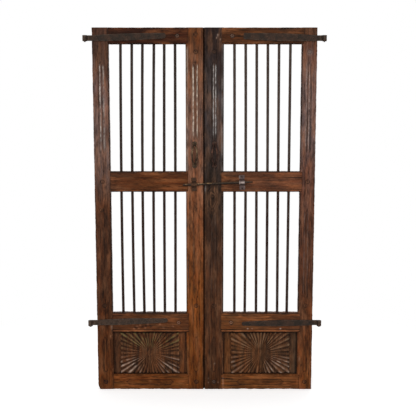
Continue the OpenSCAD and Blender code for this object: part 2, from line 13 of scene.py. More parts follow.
import bpy
import numpy as np
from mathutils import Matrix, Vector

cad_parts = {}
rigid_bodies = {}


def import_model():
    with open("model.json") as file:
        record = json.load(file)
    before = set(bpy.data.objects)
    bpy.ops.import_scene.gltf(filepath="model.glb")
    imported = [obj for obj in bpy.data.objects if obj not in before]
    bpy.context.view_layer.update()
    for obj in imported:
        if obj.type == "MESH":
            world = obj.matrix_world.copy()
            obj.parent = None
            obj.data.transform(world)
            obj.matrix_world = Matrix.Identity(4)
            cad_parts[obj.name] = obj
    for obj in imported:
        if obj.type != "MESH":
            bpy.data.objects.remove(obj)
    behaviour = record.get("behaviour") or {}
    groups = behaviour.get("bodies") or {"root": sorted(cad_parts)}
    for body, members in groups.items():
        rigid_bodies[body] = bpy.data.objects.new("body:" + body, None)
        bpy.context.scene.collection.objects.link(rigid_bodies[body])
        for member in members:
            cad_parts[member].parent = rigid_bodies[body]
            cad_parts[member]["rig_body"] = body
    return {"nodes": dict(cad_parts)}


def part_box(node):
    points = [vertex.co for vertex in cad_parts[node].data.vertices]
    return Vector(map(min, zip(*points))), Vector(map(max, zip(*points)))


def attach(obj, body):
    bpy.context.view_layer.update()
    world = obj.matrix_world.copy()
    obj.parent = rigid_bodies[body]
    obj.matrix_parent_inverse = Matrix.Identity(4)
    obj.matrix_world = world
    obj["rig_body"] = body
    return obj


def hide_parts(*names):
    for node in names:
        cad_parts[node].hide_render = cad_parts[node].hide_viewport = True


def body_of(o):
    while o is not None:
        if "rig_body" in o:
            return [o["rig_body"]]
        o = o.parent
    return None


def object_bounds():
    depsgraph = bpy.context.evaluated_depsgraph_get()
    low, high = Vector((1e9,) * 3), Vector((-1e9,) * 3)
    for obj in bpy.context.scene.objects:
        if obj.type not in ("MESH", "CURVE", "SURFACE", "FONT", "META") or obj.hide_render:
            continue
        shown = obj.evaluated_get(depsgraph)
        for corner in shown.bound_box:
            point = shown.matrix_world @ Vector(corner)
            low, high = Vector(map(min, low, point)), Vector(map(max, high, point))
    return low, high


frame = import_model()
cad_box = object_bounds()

MM = 0.001

# %% [markdown]
# ## Camera
# The verticals of the leaves lean together towards the floor, so the camera stands higher than
# the middle of the door and looks down a little. A long lens from four metres keeps the rails
# level. Blender's camera looks down its own -Z, so a turn of 90 degrees about X makes it level,
# and a little less than that tips it down.

# %% Make the camera
CAMERA_SPOT = (0.0165, -4.034, 1.506)
CAMERA_DROP = 7.9
LENS = 70.2
SENSOR = 36

lens = bpy.data.cameras.new("camera")
lens.lens = LENS
lens.sensor_width = SENSOR
camera = bpy.data.objects.new("camera", lens)
camera.location = CAMERA_SPOT
camera.rotation_euler = (math.radians(90 - CAMERA_DROP), 0, 0)
bpy.context.scene.collection.objects.link(camera)
bpy.context.scene.camera = camera
bpy.context.scene.view_settings.view_transform = "Standard"
print("camera at", CAMERA_SPOT, "looking", CAMERA_DROP, "degrees down")

# %% [markdown]
# ## Helpers for nodes
# A material is a graph of nodes. Clicking it together in the editor is fine for one material,
# but here several finishes share the same plan, so one helper adds a node, sets what it is given
# and hands back its outputs. The others stand for nodes that come up again and again.

# %% Node helpers
def node(tree, kind, inputs=None, **settings):
    """Adds a shader node. inputs maps a socket's name or number to a value or to an output."""
    made = tree.nodes.new("ShaderNode" + kind)
    for key, value in settings.items():
        setattr(made, key, value)
    for key, value in (inputs or {}).items():
        if isinstance(value, bpy.types.NodeSocket):
            tree.links.new(value, made.inputs[key])
        else:
            made.inputs[key].default_value = value
    return made.outputs


def math_node(tree, operation, *values, clamp=False):
    """One Math node on two or three values."""
    return node(tree, "Math", dict(enumerate(values)), operation=operation, use_clamp=clamp)[0]


def remap(tree, value, low, high, to=(0, 1), **settings):
    """Spreads a value so that low becomes to[0] and high becomes to[1], and stops it there."""
    ends = {"Value": value, "From Min": low, "From Max": high, "To Min": to[0], "To Max": to[1]}
    return node(tree, "MapRange", ends, **settings)[0]


def noise(tree, vector, scale, detail, rough):
    """One noise, from 0 to 1."""
    return node(tree, "TexNoise", {"Vector": vector, "Scale": scale, "Detail": detail,
                                   "Roughness": rough})[0]


print("node helpers ready")

# %% Colour helpers
def mix_colour(tree, share, first, second):
    """Goes from the first colour to the second as share goes from 0 to 1."""
    return node(tree, "Mix", {0: share, 6: first, 7: second}, data_type="RGBA")[2]


def lit(tree, colour, light):
    """A colour times a brightness."""
    return node(tree, "VectorMath", {0: colour, "Scale": light}, operation="SCALE")[0]


def rgb(red, green, blue):
    """A colour as a picture shows it, 0 to 255, turned into the linear values that nodes take."""
    share = np.array([red, green, blue]) / 255
    linear = np.where(share > 0.04045, ((share + 0.055) / 1.055) ** 2.4, share / 12.92)
    return (*linear.tolist(), 1.0)


def empty_material(name):
    """A new material with no nodes in it yet, and its tree."""
    made = bpy.data.materials.new(name)
    made.use_nodes = True
    made.node_tree.nodes.clear()
    return made, made.node_tree


print("a grey of 128 is", round(rgb(128, 128, 128)[0], 3), "to the nodes")

# %% [markdown]
# ## Light, background and floor
# The door stands on plain white in soft light. White comes from the colour that the camera sees
# in the world and on the far floor, not from more light on the wood. Light Path tells the camera's
# rays from those that light the scene, so the two can differ. Close to the door the floor is a
# pale surface that takes a shadow, with a little glow for the camera that lifts it to white.

# %% Make the world
WORLD_LIGHT = 0.55

world = bpy.data.worlds.new("studio")
bpy.context.scene.world = world
world.use_nodes = True
world.node_tree.nodes.clear()


def seen_directly(tree):
    """1 for rays from the camera, from a reflection or through glass, and 0 for the rest."""
    path = node(tree, "LightPath")
    glossy = math_node(tree, "ADD", path["Is Camera Ray"], path["Is Glossy Ray"])
    return math_node(tree, "ADD", glossy, path["Is Transmission Ray"], clamp=True)


sky = world.node_tree
soft = node(sky, "Background", {"Color": (1, 1, 1, 1), "Strength": WORLD_LIGHT})[0]
white = node(sky, "Background", {"Color": (1, 1, 1, 1), "Strength": 1})[0]
blend = node(sky, "MixShader", {0: seen_directly(sky), 1: soft, 2: white})[0]
node(sky, "OutputWorld", {"Surface": blend})
print("world light", WORLD_LIGHT, "and white behind")

# %% Make the lamps
# Each lamp: where it stands, where it points, its size in metres and its power in watts
LAMPS = {
    "high_left": ((-1.3, -3.2, 3.4), (0, 0, 0.9), 2.8, 70),
    "low_right": ((2.2, -3.6, 1.9), (0, 0, 0.9), 2.8, 34),
    "behind": ((0.6, 3.0, 2.6), (0, 0, 0.9), 2.6, 40),
}
for name, (spot, target, size, power) in LAMPS.items():
    lamp = bpy.data.lights.new(name, "AREA")
    lamp.shape = "DISK"
    lamp.size = size
    lamp.energy = power
    holder = bpy.data.objects.new(name, lamp)
    holder.location = spot
    aim = holder.location.copy()
    aim.xyz = target
    holder.rotation_euler = (aim - holder.location).to_track_quat("-Z", "Y").to_euler()
    bpy.context.scene.collection.objects.link(holder)
print("lamps", ", ".join(LAMPS))

# %% Make the floor
FLOOR_HALF = 30.0
FLOOR_PALE = (0.85, 0.85, 0.85, 1)
FLOOR_GLOW = 0.42
SHADOW_REACH = (0.9, 1.8)

floor_mesh = bpy.data.meshes.new("floor")
corners = [(-1, -1, 0), (1, -1, 0), (1, 1, 0), (-1, 1, 0)]
floor_mesh.from_pydata((np.array(corners) * FLOOR_HALF).tolist(), [], [(0, 1, 2, 3)])
floor = bpy.data.objects.new("floor", floor_mesh)
bpy.context.scene.collection.objects.link(floor)

floor_paint, tree = empty_material("pale_floor")
shown = seen_directly(tree)
spot = node(tree, "TexCoord")["Object"]
distance = node(tree, "VectorMath", {0: spot}, operation="LENGTH")["Value"]
far = remap(tree, distance, *SHADOW_REACH, interpolation_type="SMOOTHSTEP")
pale = node(tree, "BsdfDiffuse", {"Color": FLOOR_PALE})[0]
glow = node(tree, "Emission", {"Strength": math_node(tree, "MULTIPLY", shown, FLOOR_GLOW)})[0]
near_floor = node(tree, "AddShader", {0: pale, 1: glow})[0]
white_floor = node(tree, "Emission", {"Strength": 1})[0]
cover = math_node(tree, "MULTIPLY", shown, far)
whole_floor = node(tree, "MixShader", {0: cover, 1: near_floor, 2: white_floor})[0]
node(tree, "OutputMaterial", {"Surface": whole_floor})
floor_mesh.materials.append(floor_paint)
print("floor", 2 * FLOOR_HALF, "m wide")

# %% [markdown]
# ## Surfaces from arrays
# Nearly every piece here is a skin through rings of points: a board is its section carried along
# its length, a strap is a flat section carried along a bent path, a nail is a circle carried up
# its axis. So one function turns an array of rings into a closed shell. It measures the shell's
# volume and turns the faces round if that comes out negative, so they always point outwards.
# Age is never even, so another function makes smooth random hills, the same in every run.

# %% Soft shapes
def ripple(u, v, seed, size_u, size_v, waves=12):
    """Smooth random hills, mostly from -1 to 1: a sum of seeded sine waves that each head another
    way, about size_u long along u and size_v long along v."""
    rng = np.random.default_rng(seed)
    total = 0.0
    for _ in range(waves):
        heading, phase = rng.uniform(0, 2 * np.pi, 2)
        pace = rng.uniform(0.6, 1.7)
        run = np.cos(heading) * u / size_u + np.sin(heading) * v / size_v
        total = total + np.sin(2 * np.pi * pace * run + phase)
    return total / np.sqrt(waves)


def smooth(value, low, high):
    """0 below low, 1 above high, and an even S between."""
    share = np.clip((value - low) / (high - low), 0, 1)
    return share * share * (3 - 2 * share)


def bell(value, reach):
    """1 where the value is 0, down to about a third at reach on either side, and soon 0."""
    return np.exp(-((value / reach) ** 2))


def hill(u, v):
    """A bell in two directions at once."""
    return np.exp(-(u**2) - v**2)


print("a bell at its reach is", round(float(bell(1.0, 1.0)), 2))

# %% Shells
def volume(points, faces):
    """Six times the volume inside: for each corner triangle of a face, the triple product."""
    first = points[faces[:, 0]]
    total = 0.0
    for k in range(1, faces.shape[1] - 1):
        total += np.einsum("ij,ij->", first, np.cross(points[faces[:, k]], points[faces[:, k + 1]]))
    return total


def shell(rings, **stains):
    """A closed skin through rings, an array of (rings, points round, 3): each point makes a quad
    with its neighbour and the next ring, and each end closes on the middle of its ring. Each
    stain gives one number per ring point."""
    count, around, _ = rings.shape
    index = np.arange(count * around).reshape(count, around)
    here, there = index[:-1], index[1:]
    quads = np.stack([here, np.roll(here, -1, 1), np.roll(there, -1, 1), there], -1).reshape(-1, 4)
    first = np.stack([np.roll(index[0], -1), index[0], np.full(around, count * around)], -1)
    last = np.stack([index[-1], np.roll(index[-1], -1), np.full(around, count * around + 1)], -1)
    points = np.concatenate([rings.reshape(-1, 3), rings[[0, -1]].mean(1)])
    caps = np.concatenate([first, last])
    if volume(points, quads) + volume(points, caps) < 0:
        quads, caps = quads[:, ::-1], caps[:, ::-1]
    marks = {}
    for key, value in stains.items():
        full = np.broadcast_to(value, (count, around))
        marks[key] = np.concatenate([full.ravel(), full[[0, -1]].mean(1)])
    return {"points": points, "faces": [quads, caps], "marks": marks}


print("shells ready")

# %% Turn shells into a piece
STAINS = ("grime", "chalk", "worn")
made_triangles = {}


def piece(name, shells, nodes, finish):
    """Joins shells into one object at the origin that stands for the given nodes and rides on
    their body. Every stain becomes a point attribute that the finish reads."""
    starts = np.cumsum([0] + [len(s["points"]) for s in shells])
    faces = [(block + start).tolist() for s, start in zip(shells, starts) for block in s["faces"]]
    mesh = bpy.data.meshes.new(name)
    mesh.from_pydata(np.concatenate([s["points"] for s in shells]).tolist(), [], sum(faces, []))
    mesh.polygons.foreach_set("use_smooth", np.ones(len(mesh.polygons), bool))
    for key in STAINS:
        values = [s["marks"].get(key, np.zeros(len(s["points"]))) for s in shells]
        layer = mesh.attributes.new(key, "FLOAT", "POINT")
        layer.data.foreach_set("value", np.clip(np.concatenate(values), 0, 1).astype(np.float32))
    mesh.materials.append(finish)
    made = bpy.data.objects.new(name, mesh)
    bpy.context.scene.collection.objects.link(made)
    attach(made, body_of(frame["nodes"][nodes[0]])[0])
    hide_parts(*nodes)
    made_triangles[name] = sum(len(p) * (p.shape[1] - 2) for s in shells for p in s["faces"])
    return made


def box(name):
    """The lowest and highest corner of a node, as arrays."""
    low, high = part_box(name)
    return np.array(low), np.array(high)


print("stains on every mesh:", ", ".join(STAINS))

# %% [markdown]
# ## Boards
# A board could be a cube with a bevel and a sculpted face. Here it is a section carried along its
# length, because then every point knows where it lies on the board: how near an edge, how far
# along, how deep. Worn edges, carving and stains are formulas of that. The front has close points
# where it is carved and wide ones where it is plain, which keeps the mesh light.

# %% Section of a board
EDGE_ROUND = 2.2 * MM
REAR_STEP = 9 * MM


def stations(start, stop, step, fine=()):
    """Places from start to stop about one step apart, and closer in each fine zone (low, high,
    step): even steps on the running sum of how many are wanted per metre."""
    line = np.linspace(start, stop, 6001)
    wanted = np.full(line.size, 1 / step)
    for low, high, close in fine:
        wanted[(line >= low) & (line <= high)] = 1 / close
    total = np.concatenate([[0], np.cumsum((wanted[1:] + wanted[:-1]) / 2 * np.diff(line))])
    return np.interp(np.linspace(0, total[-1], int(np.ceil(total[-1])) + 1), total, line)


def section(front, thick, lip):
    """The outline of a board as across and depth: the front, a quarter circle, the high side, the
    rear and the low side. lip is (side, from, to, out): a ledge along one side."""
    r = EDGE_ROUND
    low, high = front[0] - r, front[-1] + r
    turn = np.radians([22.5, 45, 67.5])
    plain = np.linspace(r, thick - r, 6)
    ledge = np.array([0, 0.1, -0.1, 0]) * MM + np.repeat(lip[1:3], 2)
    depths = np.sort(np.concatenate([plain, ledge])) if lip[0] else plain
    out = np.where((depths > lip[1]) & (depths < lip[2]), lip[3], 0)
    rear = np.linspace(high - r, low + r, max(4, int((high - low) / REAR_STEP)))
    across = [front, high - r + r * np.sin(turn), high + out * (lip[0] > 0),
              high - r + r * np.cos(turn), rear, low + r - r * np.sin(turn),
              low - out[::-1] * (lip[0] < 0), low + r - r * np.cos(turn)]
    depth = [0 * front, r - r * np.cos(turn), depths, thick - r + r * np.sin(turn),
             thick + 0 * rear, thick - r + r * np.cos(turn), depths[::-1], r - r * np.sin(turn)]
    return np.concatenate(across), np.concatenate(depth), low, high


print("edges rounded to", EDGE_ROUND / MM, "mm")

# %% Board
EDGE_REACH = 5 * MM
EDGE_WEAR = 1.3 * MM
END_EASE = 1.4 * MM
NO_LEDGE = (0, 0, 0, 0)
GAP_SHADE = 3 * MM


def board(along, front, face_y, thick, upright, carvings, seed, lip=NO_LEDGE):
    """A board: its section at every station along it. Each of the four edges is rubbed in by a
    seeded ripple, the ends are eased on a quarter circle, and the carvings push the front in."""
    ends = END_EASE * np.array([0, 0.12, 0.35, 0.65, 1])
    inner = along[(along > along[0] + 2 * END_EASE) & (along < along[-1] - 2 * END_EASE)]
    along = np.concatenate([along[0] + ends, inner, along[-1] - ends[::-1]])
    across, depth, low, high = section(front, thick, lip)
    corner = np.array([[low, 0], [high, 0], [high, thick], [low, thick]])
    inward = np.array([[1, 1], [-1, 1], [-1, -1], [1, -1]])
    gap = np.hypot(across[:, None] - corner[:, 0], depth[:, None] - corner[:, 1])
    nearest = gap.argmin(1)
    closeness = bell(gap.min(1), EDGE_REACH)
    bites = np.stack([np.clip(0.45 + 0.5 * ripple(along, k, seed + k, 90 * MM, 3)
                              + 0.35 * ripple(along, k, seed + 10 + k, 18 * MM, 3), 0, 2)
                      for k in range(4)])
    rubbed = bites[nearest].T
    bite = EDGE_WEAR * closeness * rubbed
    a = across + inward[nearest, 0] * bite
    d = depth + inward[nearest, 1] * bite
    l = np.repeat(along[:, None], across.size, 1)
    from_end = np.clip(1 - np.minimum(l - along[0], along[-1] - l) / END_EASE, 0, 1)
    ease = END_EASE * (1 - np.sqrt(1 - from_end**2))
    a = a - ease * np.clip((a - (low + high) / 2) / (2 * END_EASE), -1, 1)
    d = d - ease * np.clip((d - thick / 2) / (2 * END_EASE), -1, 1)
    x, z = (a, l) if upright else (l, a)
    facing = np.clip(1 - (depth - EDGE_ROUND) / (thick * 0.4), 0, 1)
    marks = {key: np.zeros(x.shape) for key in ("depth", *STAINS)}
    for carving in carvings:
        for key, value in carving(x, z).items():
            marks[key] = marks[key] + value
    marks["worn"] = marks["worn"] + 0.7 * closeness * np.clip(rubbed - 0.5, 0, 1)
    marks["grime"] = marks["grime"] + 0.6 * closeness * np.clip(0.9 - rubbed, 0, 1)
    y = face_y + d + facing * marks.pop("depth")
    shade = {key: value * facing if key != "worn" else value for key, value in marks.items()}
    # Painted shade: the faces inside the gap between the leaves are dark from GAP_SHADE behind the front,
    # and carry no wear
    in_gap = (lip[0] * (across - (low + high) / 2) > 0) & (depth > GAP_SHADE)
    shade["grime"] = shade["grime"] + in_gap
    shade["worn"] = shade["worn"] * ~in_gap
    return shell(np.stack([x, y, z], -1), **shade)


print("edges rubbed in by up to", 2 * EDGE_WEAR / MM, "mm")

# %% [markdown]
# ## Carving
# A carver's cuts are simple shapes with soft edges: a gouge run makes a flute, a ring and a dot
# make a rosette, a plane makes the slope beside an opening. Boolean cutters would leave hard edges
# and a mesh that is hard to stain. Here each cut is a function of the place on the face that
# answers how deep it is there and what has settled in it: dark grime in the hollows, and a pale
# chalky film where old polish and dust have dried. Some cuts also lay painted shade and painted
# highlights on the wood. A board adds up the answers of all its cuts.

# %% Flutes
FLUTE_W = 8 * MM
FLUTE_DEPTH = 2.5 * MM
FLUTE_POINT = 14 * MM


def flute(mid, low, high, grime, seed, deep=FLUTE_DEPTH):
    """A gouge run: depth falls off with the square of the distance from its line, and the width
    closes to a point at both ends. Grime lies along both banks and in patches on its floor."""
    def cut(x, z):
        point = np.clip(np.minimum(z - low, high - z) / FLUTE_POINT, 0, 1)
        side = (x - mid) / np.maximum(FLUTE_W / 2 * point, 0.2 * MM)
        bowl = np.clip(1 - side**2, 0, 1) * (point > 0)
        bank = bell(np.abs(side) - 1.1, 0.45) * (point > 0)
        patch = np.clip(0.6 + 0.6 * ripple(z, x, seed, 60 * MM, 200 * MM), 0, 1)
        return {"depth": deep * bowl, "grime": grime * (0.7 * bank + 0.6 * bowl * patch)}
    return cut


def film_line(mid, low, high, amount, width, seed):
    """Old polish dried along a flute: a bell across, long smooth patches along, faded ends."""
    def cut(x, z):
        patch = 0.8 + 0.35 * ripple(z, x, seed, 150 * MM, 1.0)
        patch = patch + 0.3 * ripple(z, x, seed + 1, 26 * MM, 1.0)
        ends = smooth(z, low, low + 50 * MM) * (1 - smooth(z, high - 22 * MM, high))
        sway = 0.6 * MM * ripple(z, 0 * z, seed + 2, 70 * MM, 1.0)
        return {"chalk": amount * ends * np.clip(patch, 0.1, 1.2) * bell(x - mid - sway, width)}
    return cut


print("flutes", FLUTE_W / MM, "mm wide and", FLUTE_DEPTH / MM, "mm deep")

# %% Rosettes and half rings
RING_R = 9.5 * MM
RING_W = 2.0 * MM
DOT_R = 3.0 * MM
RING_DEPTH = 1.5 * MM
GOUGE_W = 1.8 * MM
GOUGE_DEPTH = 1.6 * MM


def rosette(x0, z0, film=0.0):
    """A ring and a dot with six petals left standing between them: a bell in depth for each cut."""
    def cut(x, z):
        reach = np.hypot(x - x0, z - z0)
        ring = bell(reach - RING_R, RING_W)
        dot = bell(reach, DOT_R)
        band = bell(reach - 0.58 * RING_R, DOT_R)
        petal = np.cos(3 * np.arctan2(z - z0, x - x0)) ** 2
        sunk = ring + dot + 0.7 * band * (1 - petal)
        return {"depth": RING_DEPTH * sunk, "grime": 0.8 * sunk, "worn": 0.85 * band * petal,
                "chalk": film * band * petal}
    return cut


def half_ring(x0, z0, radius, rise):
    """A gouge cut on half a circle, above its middle for rise 1 and below it for rise -1."""
    def cut(x, z):
        off = np.hypot(x - x0, z - z0) - radius
        groove = bell(off, GOUGE_W) * smooth((z - z0) * rise, -1 * MM, 2 * MM)
        return {"depth": GOUGE_DEPTH * groove, "grime": 0.75 * groove}
    return cut


print("rosettes", 2 * RING_R / MM, "mm across")

# %% Seats and slopes
SEAT_DEPTH = 4 * MM
SEAT_PLAY = 2 * MM
SLOPE_STOP = 12 * MM


def housing(edge, inward, reach, low, high):
    """A seat for the end of a rail, sunk evenly from the stile's inner edge. The rail covers it."""
    def cut(x, z):
        up = np.minimum(z - low, high - z) - SEAT_PLAY
        inside = np.minimum(reach - SEAT_PLAY - (x - edge) * inward, up)
        return {"depth": SEAT_DEPTH * smooth(inside, -1 * MM, 1 * MM)}
    return cut


def slope(axis, edge, inward, low, high, width, drop, grime, film=0.0):
    """A plane run beside an opening: depth grows evenly towards the edge and stops softly at both
    ends. axis 0 is a slope along a stile and axis 1 along a rail."""
    def cut(x, z):
        across, along = (x, z) if axis == 0 else (z, x)
        rise = np.clip(1 - (across - edge) * inward / width, 0, 1.2)
        stop = smooth(along, low, low + SLOPE_STOP) * (1 - smooth(along, high - SLOPE_STOP, high))
        crest = bell(rise - 0.4, 0.25) * smooth(rise * stop, 0, 0.15)
        patch = np.clip(0.7 + 0.6 * ripple(along, across, 77, 90 * MM, 300 * MM), 0, 1.2)
        return {"depth": drop * rise * stop, "grime": grime * smooth(rise * stop, 0.35, 0.9),
                "chalk": film * crest * patch}
    return cut


print("seats", SEAT_DEPTH / MM, "mm deep")

# %% Spots, a knot and weather
def blot(x0, z0, reach_x, reach_z, **amounts):
    """A soft spot: every amount falls off as a bell round its middle."""
    def cut(x, z):
        spot = hill((x - x0) / reach_x, (z - z0) / reach_z)
        return {key: amount * spot for key, amount in amounts.items()}
    return cut


def stop_cut(x0, z0):
    """The dark stab of a gouge that stops a pair of flutes at their heads."""
    return blot(x0, z0 + 3 * MM, 4 * MM, 5 * MM, depth=GOUGE_DEPTH, grime=0.8)


def knot(x0, z0, reach):
    """A knot: dark rings of grain, long along the board, that fade out from the middle."""
    def cut(x, z):
        u, v = (x - x0) / reach, (z - z0) / (2.4 * reach)
        out = np.hypot(u, v) + 0.12 * ripple(u, v, 5, 1.0, 1.0)
        rings = 0.5 + 0.5 * np.cos(2 * np.pi * 3.2 * out)
        fade = np.exp(-(out**2))
        return {"depth": 0.8 * MM * rings * fade, "worn": 0.6 * (1 - rings) * fade,
                "grime": np.maximum(0.8 * rings, bell(out, 0.46)) * fade}
    return cut


def weather(upright, seed, depth=0.4 * MM, grime=0.3, worn=0.3):
    """Years of weather: ridges of hard grain along the board, cracks where a ridge is lowest, and
    patches of grime and of rubbed wood."""
    def cut(x, z):
        across, along = (x, z) if upright else (z, x)
        ridges = ripple(across, along, seed, 9 * MM, 260 * MM, 16)
        patch = ripple(across, along, seed + 1, 60 * MM, 240 * MM)
        crack = smooth(ripple(across, along, seed + 2, 13 * MM, 420 * MM, 20), 1.25, 1.8)
        return {"depth": depth * ridges + 1.2 * MM * crack, "worn": worn * np.clip(-patch, 0, 1),
                "grime": grime * np.clip(patch, 0, 1) + 0.8 * crack}
    return cut


print("cuts ready")

# %% [markdown]
# ## Teak
# Old teak is brown with long streaks, dark pores and growth rings, redder where it was oiled and
# greyer where it was rubbed. A picture texture would need an unwrapped mesh, so the grain is
# worked out in space instead: noise squeezed along the grain gives streaks and fibres, and a Wave
# of rings round a pith that lies outside the board gives the growth rings. A colour ramp along the
# board changes its tone from end to end. The stains from the mesh then lay grime, film and wear
# over it, and in places painted shade and painted highlights.

# %% Grain
GRAIN_STRETCH = 0.06
FLECK_STRETCH = 0.2


def grain(tree, place, upright, seed):
    """The noises of one board, from its broad figure to its fine fibres, and its growth rings."""
    shift = (seed * 1.7, seed * 0.9, seed * 2.3)
    pith = (0.03 * (seed % 5), 0.11, 0) if upright else (0, 0.11, -0.35)

    def squeezed(amount, location):
        """Object coordinates squeezed along the grain and moved to another part of the noise."""
        scale = (1, 1, amount) if upright else (amount, 1, 1)
        return node(tree, "Mapping", {"Vector": place, "Scale": scale, "Location": location})[0]

    lengthwise = squeezed(GRAIN_STRETCH, shift)
    rings = node(tree, "TexWave", {"Vector": squeezed(GRAIN_STRETCH, pith), "Scale": 34, "Distortion": 5,
                                   "Detail": 3, "Detail Scale": 1.2}, wave_type="RINGS",
                 rings_direction="Z" if upright else "X", wave_profile="SAW")[1]
    return {"figure": noise(tree, lengthwise, 16, 4, 0.6),
            "streak": noise(tree, lengthwise, 95, 4, 0.6),
            "fibre": noise(tree, lengthwise, 460, 3, 0.7),
            "fleck": noise(tree, squeezed(FLECK_STRETCH, shift), 130, 4, 0.65),
            "warmth": noise(tree, squeezed(FLECK_STRETCH, pith), 55, 3, 0.6),
            "speck": noise(tree, place, 120, 5, 0.65), "rings": rings}


def tone_ramp(tree, value, tones, figure):
    """A colour ramp through (place in metres, colour), its borders moved about by the figure."""
    start, stop = tones[0][0], tones[-1][0]
    waver = math_node(tree, "MULTIPLY_ADD", figure, 0.24, -0.12)
    ramp = tree.nodes.new("ShaderNodeValToRGB")
    step = math_node(tree, "ADD", remap(tree, value, start, stop), waver, clamp=True)
    tree.links.new(step, ramp.inputs[0])
    while len(ramp.color_ramp.elements) < len(tones):
        ramp.color_ramp.elements.new(0.5)
    for element, (spot, colour) in zip(ramp.color_ramp.elements, tones):
        element.position = (spot - start) / (stop - start)
        element.color = rgb(*colour)
    return ramp.outputs[0]


print("grain stretched", round(1 / GRAIN_STRETCH), "times along the board")

# %% Stains and surface
SPECULAR = 0.06


def stain(tree, key, broken_by, low, high):
    """One of the mesh's stains, broken up by a noise."""
    mask = node(tree, "Attribute", attribute_name=key)["Fac"]
    return math_node(tree, "MULTIPLY", mask, remap(tree, broken_by, 0.3, 0.65, (low, high)), clamp=True)


def surface(tree, colour, rough, relief, strength, distance):
    """Ends a material: one dull surface of that colour and roughness, with the relief as bumps."""
    bump = node(tree, "Bump", {"Height": relief, "Strength": strength, "Distance": distance})[0]
    skin = node(tree, "BsdfPrincipled", {"Base Color": colour, "Roughness": rough, "Normal": bump,
                                         "Specular IOR Level": SPECULAR})[0]
    node(tree, "OutputMaterial", {"Surface": skin})


print("old wood and iron hardly shine: specular level", SPECULAR)

# %% Teak finish
PORE = (34, 20, 13)
WOOD_GRIME_AND_SHADE = (24, 16, 12)
COOL_TINT = (0.9, 1.0, 1.12, 1)
WARM_TINT = (1.14, 0.98, 0.84, 1)
# How much each noise lightens and darkens the wood
CONTRAST = {"figure": 1.5, "streak": 1.9, "fleck": 2.8, "fibre": 0.7, "rings": 0.3}


def teak(name, upright, tones, seed, film=(205, 186, 172), film_low=None, rubbed=(140, 98, 70),
         tone_axis=None):
    """tones lists (place in metres, colour) along the board, or along tone_axis if that is given;
    film is the pale film's colour, and film_low its colour on the lower half of a panel."""
    made, tree = empty_material(name)
    place = node(tree, "TexCoord")["Object"]
    parts = node(tree, "SeparateXYZ", {0: place})
    noises = grain(tree, place, upright, seed)
    axis = (2 if upright else 0) if tone_axis is None else tone_axis

    light = 1.0
    for key, strength in CONTRAST.items():
        part = math_node(tree, "MULTIPLY_ADD", noises[key], strength, -strength / 2)
        light = math_node(tree, "ADD", part, light)
    light = node(tree, "Clamp", {"Value": light, "Min": 0.25, "Max": 2.4})[0]
    wood = lit(tree, tone_ramp(tree, parts[axis], tones, noises["figure"]), light)
    tint = mix_colour(tree, remap(tree, noises["warmth"], 0.36, 0.64), COOL_TINT, WARM_TINT)
    wood = node(tree, "VectorMath", {0: wood, 1: tint}, operation="MULTIPLY")[0]
    pores = math_node(tree, "MULTIPLY", remap(tree, noises["fibre"], 0.6, 0.72), 0.55)
    wood = mix_colour(tree, pores, wood, rgb(*PORE))

    # Rubbed wood and painted highlights take the rubbed colour; grime and painted shade take the dark one
    wood = mix_colour(tree, stain(tree, "worn", noises["fleck"], 0.0, 0.9), wood, rgb(*rubbed))
    wood = mix_colour(tree, stain(tree, "grime", noises["speck"], 0.6, 1.15), wood, rgb(*WOOD_GRIME_AND_SHADE))
    film_colour = rgb(*film)
    if film_low:
        upper = remap(tree, parts[2], 0.17, 0.22)
        film_colour = mix_colour(tree, upper, rgb(*film_low), film_colour)
    wood = mix_colour(tree, stain(tree, "chalk", noises["speck"], 0.4, 1.2), wood, film_colour)

    rough = math_node(tree, "MULTIPLY_ADD", noises["streak"], 0.35, 0.42)
    threads = math_node(tree, "ADD", noises["fibre"], noises["streak"])
    relief = math_node(tree, "MULTIPLY_ADD", noises["rings"], 0.4, threads)
    surface(tree, wood, rough, relief, 0.45, 0.0009)
    return made


print("teak finish ready")

# %% [markdown]
# ## Stiles
# The four uprights run the full height. Each has a slope beside its openings, three pairs of
# flutes one above the other, and rosettes in line with them. The flutes beside the lower opening
# are shallow and worn. All of it is written as cuts on one long board. Every stile has aged in its
# own way, so tables keep its tones, stains and marks apart from the function that carves it. The
# two meeting stiles carry a ledge inside the gap, one behind the other, so no light comes through.

# %% Measure the leaves
SIDES = ("left", "right")
RAIL_KINDS = ("top", "middle", "lower", "bottom")
LEAF_H = cad_box[1].z
LAND = 1.75 * MM

low, high = box("left_bottom_rail")
FRONT_Y = low[1]
THICK = high[1] - FRONT_Y
rails = {(side, kind): box(f"{side}_{kind}_rail") for side in SIDES for kind in RAIL_KINDS}
stile_x = {}
for side in SIDES:
    low, high = box(f"{side}_hinge_stile")
    stile_x[side, "hinge"] = (low[0], high[0])
    low, high = box(f"{side}_meeting_stile")
    stile_x[side, "meeting"] = (low[0], high[0] - LAND) if side == "left" else (low[0] + LAND, high[0])
openings = [(rails["left", "lower"][1][2], rails["left", "middle"][0][2]),
            (rails["left", "middle"][1][2], rails["left", "top"][0][2])]
for key, (low, high) in stile_x.items():
    print(*key, "stile", round((high - low) / MM, 1), "mm wide")

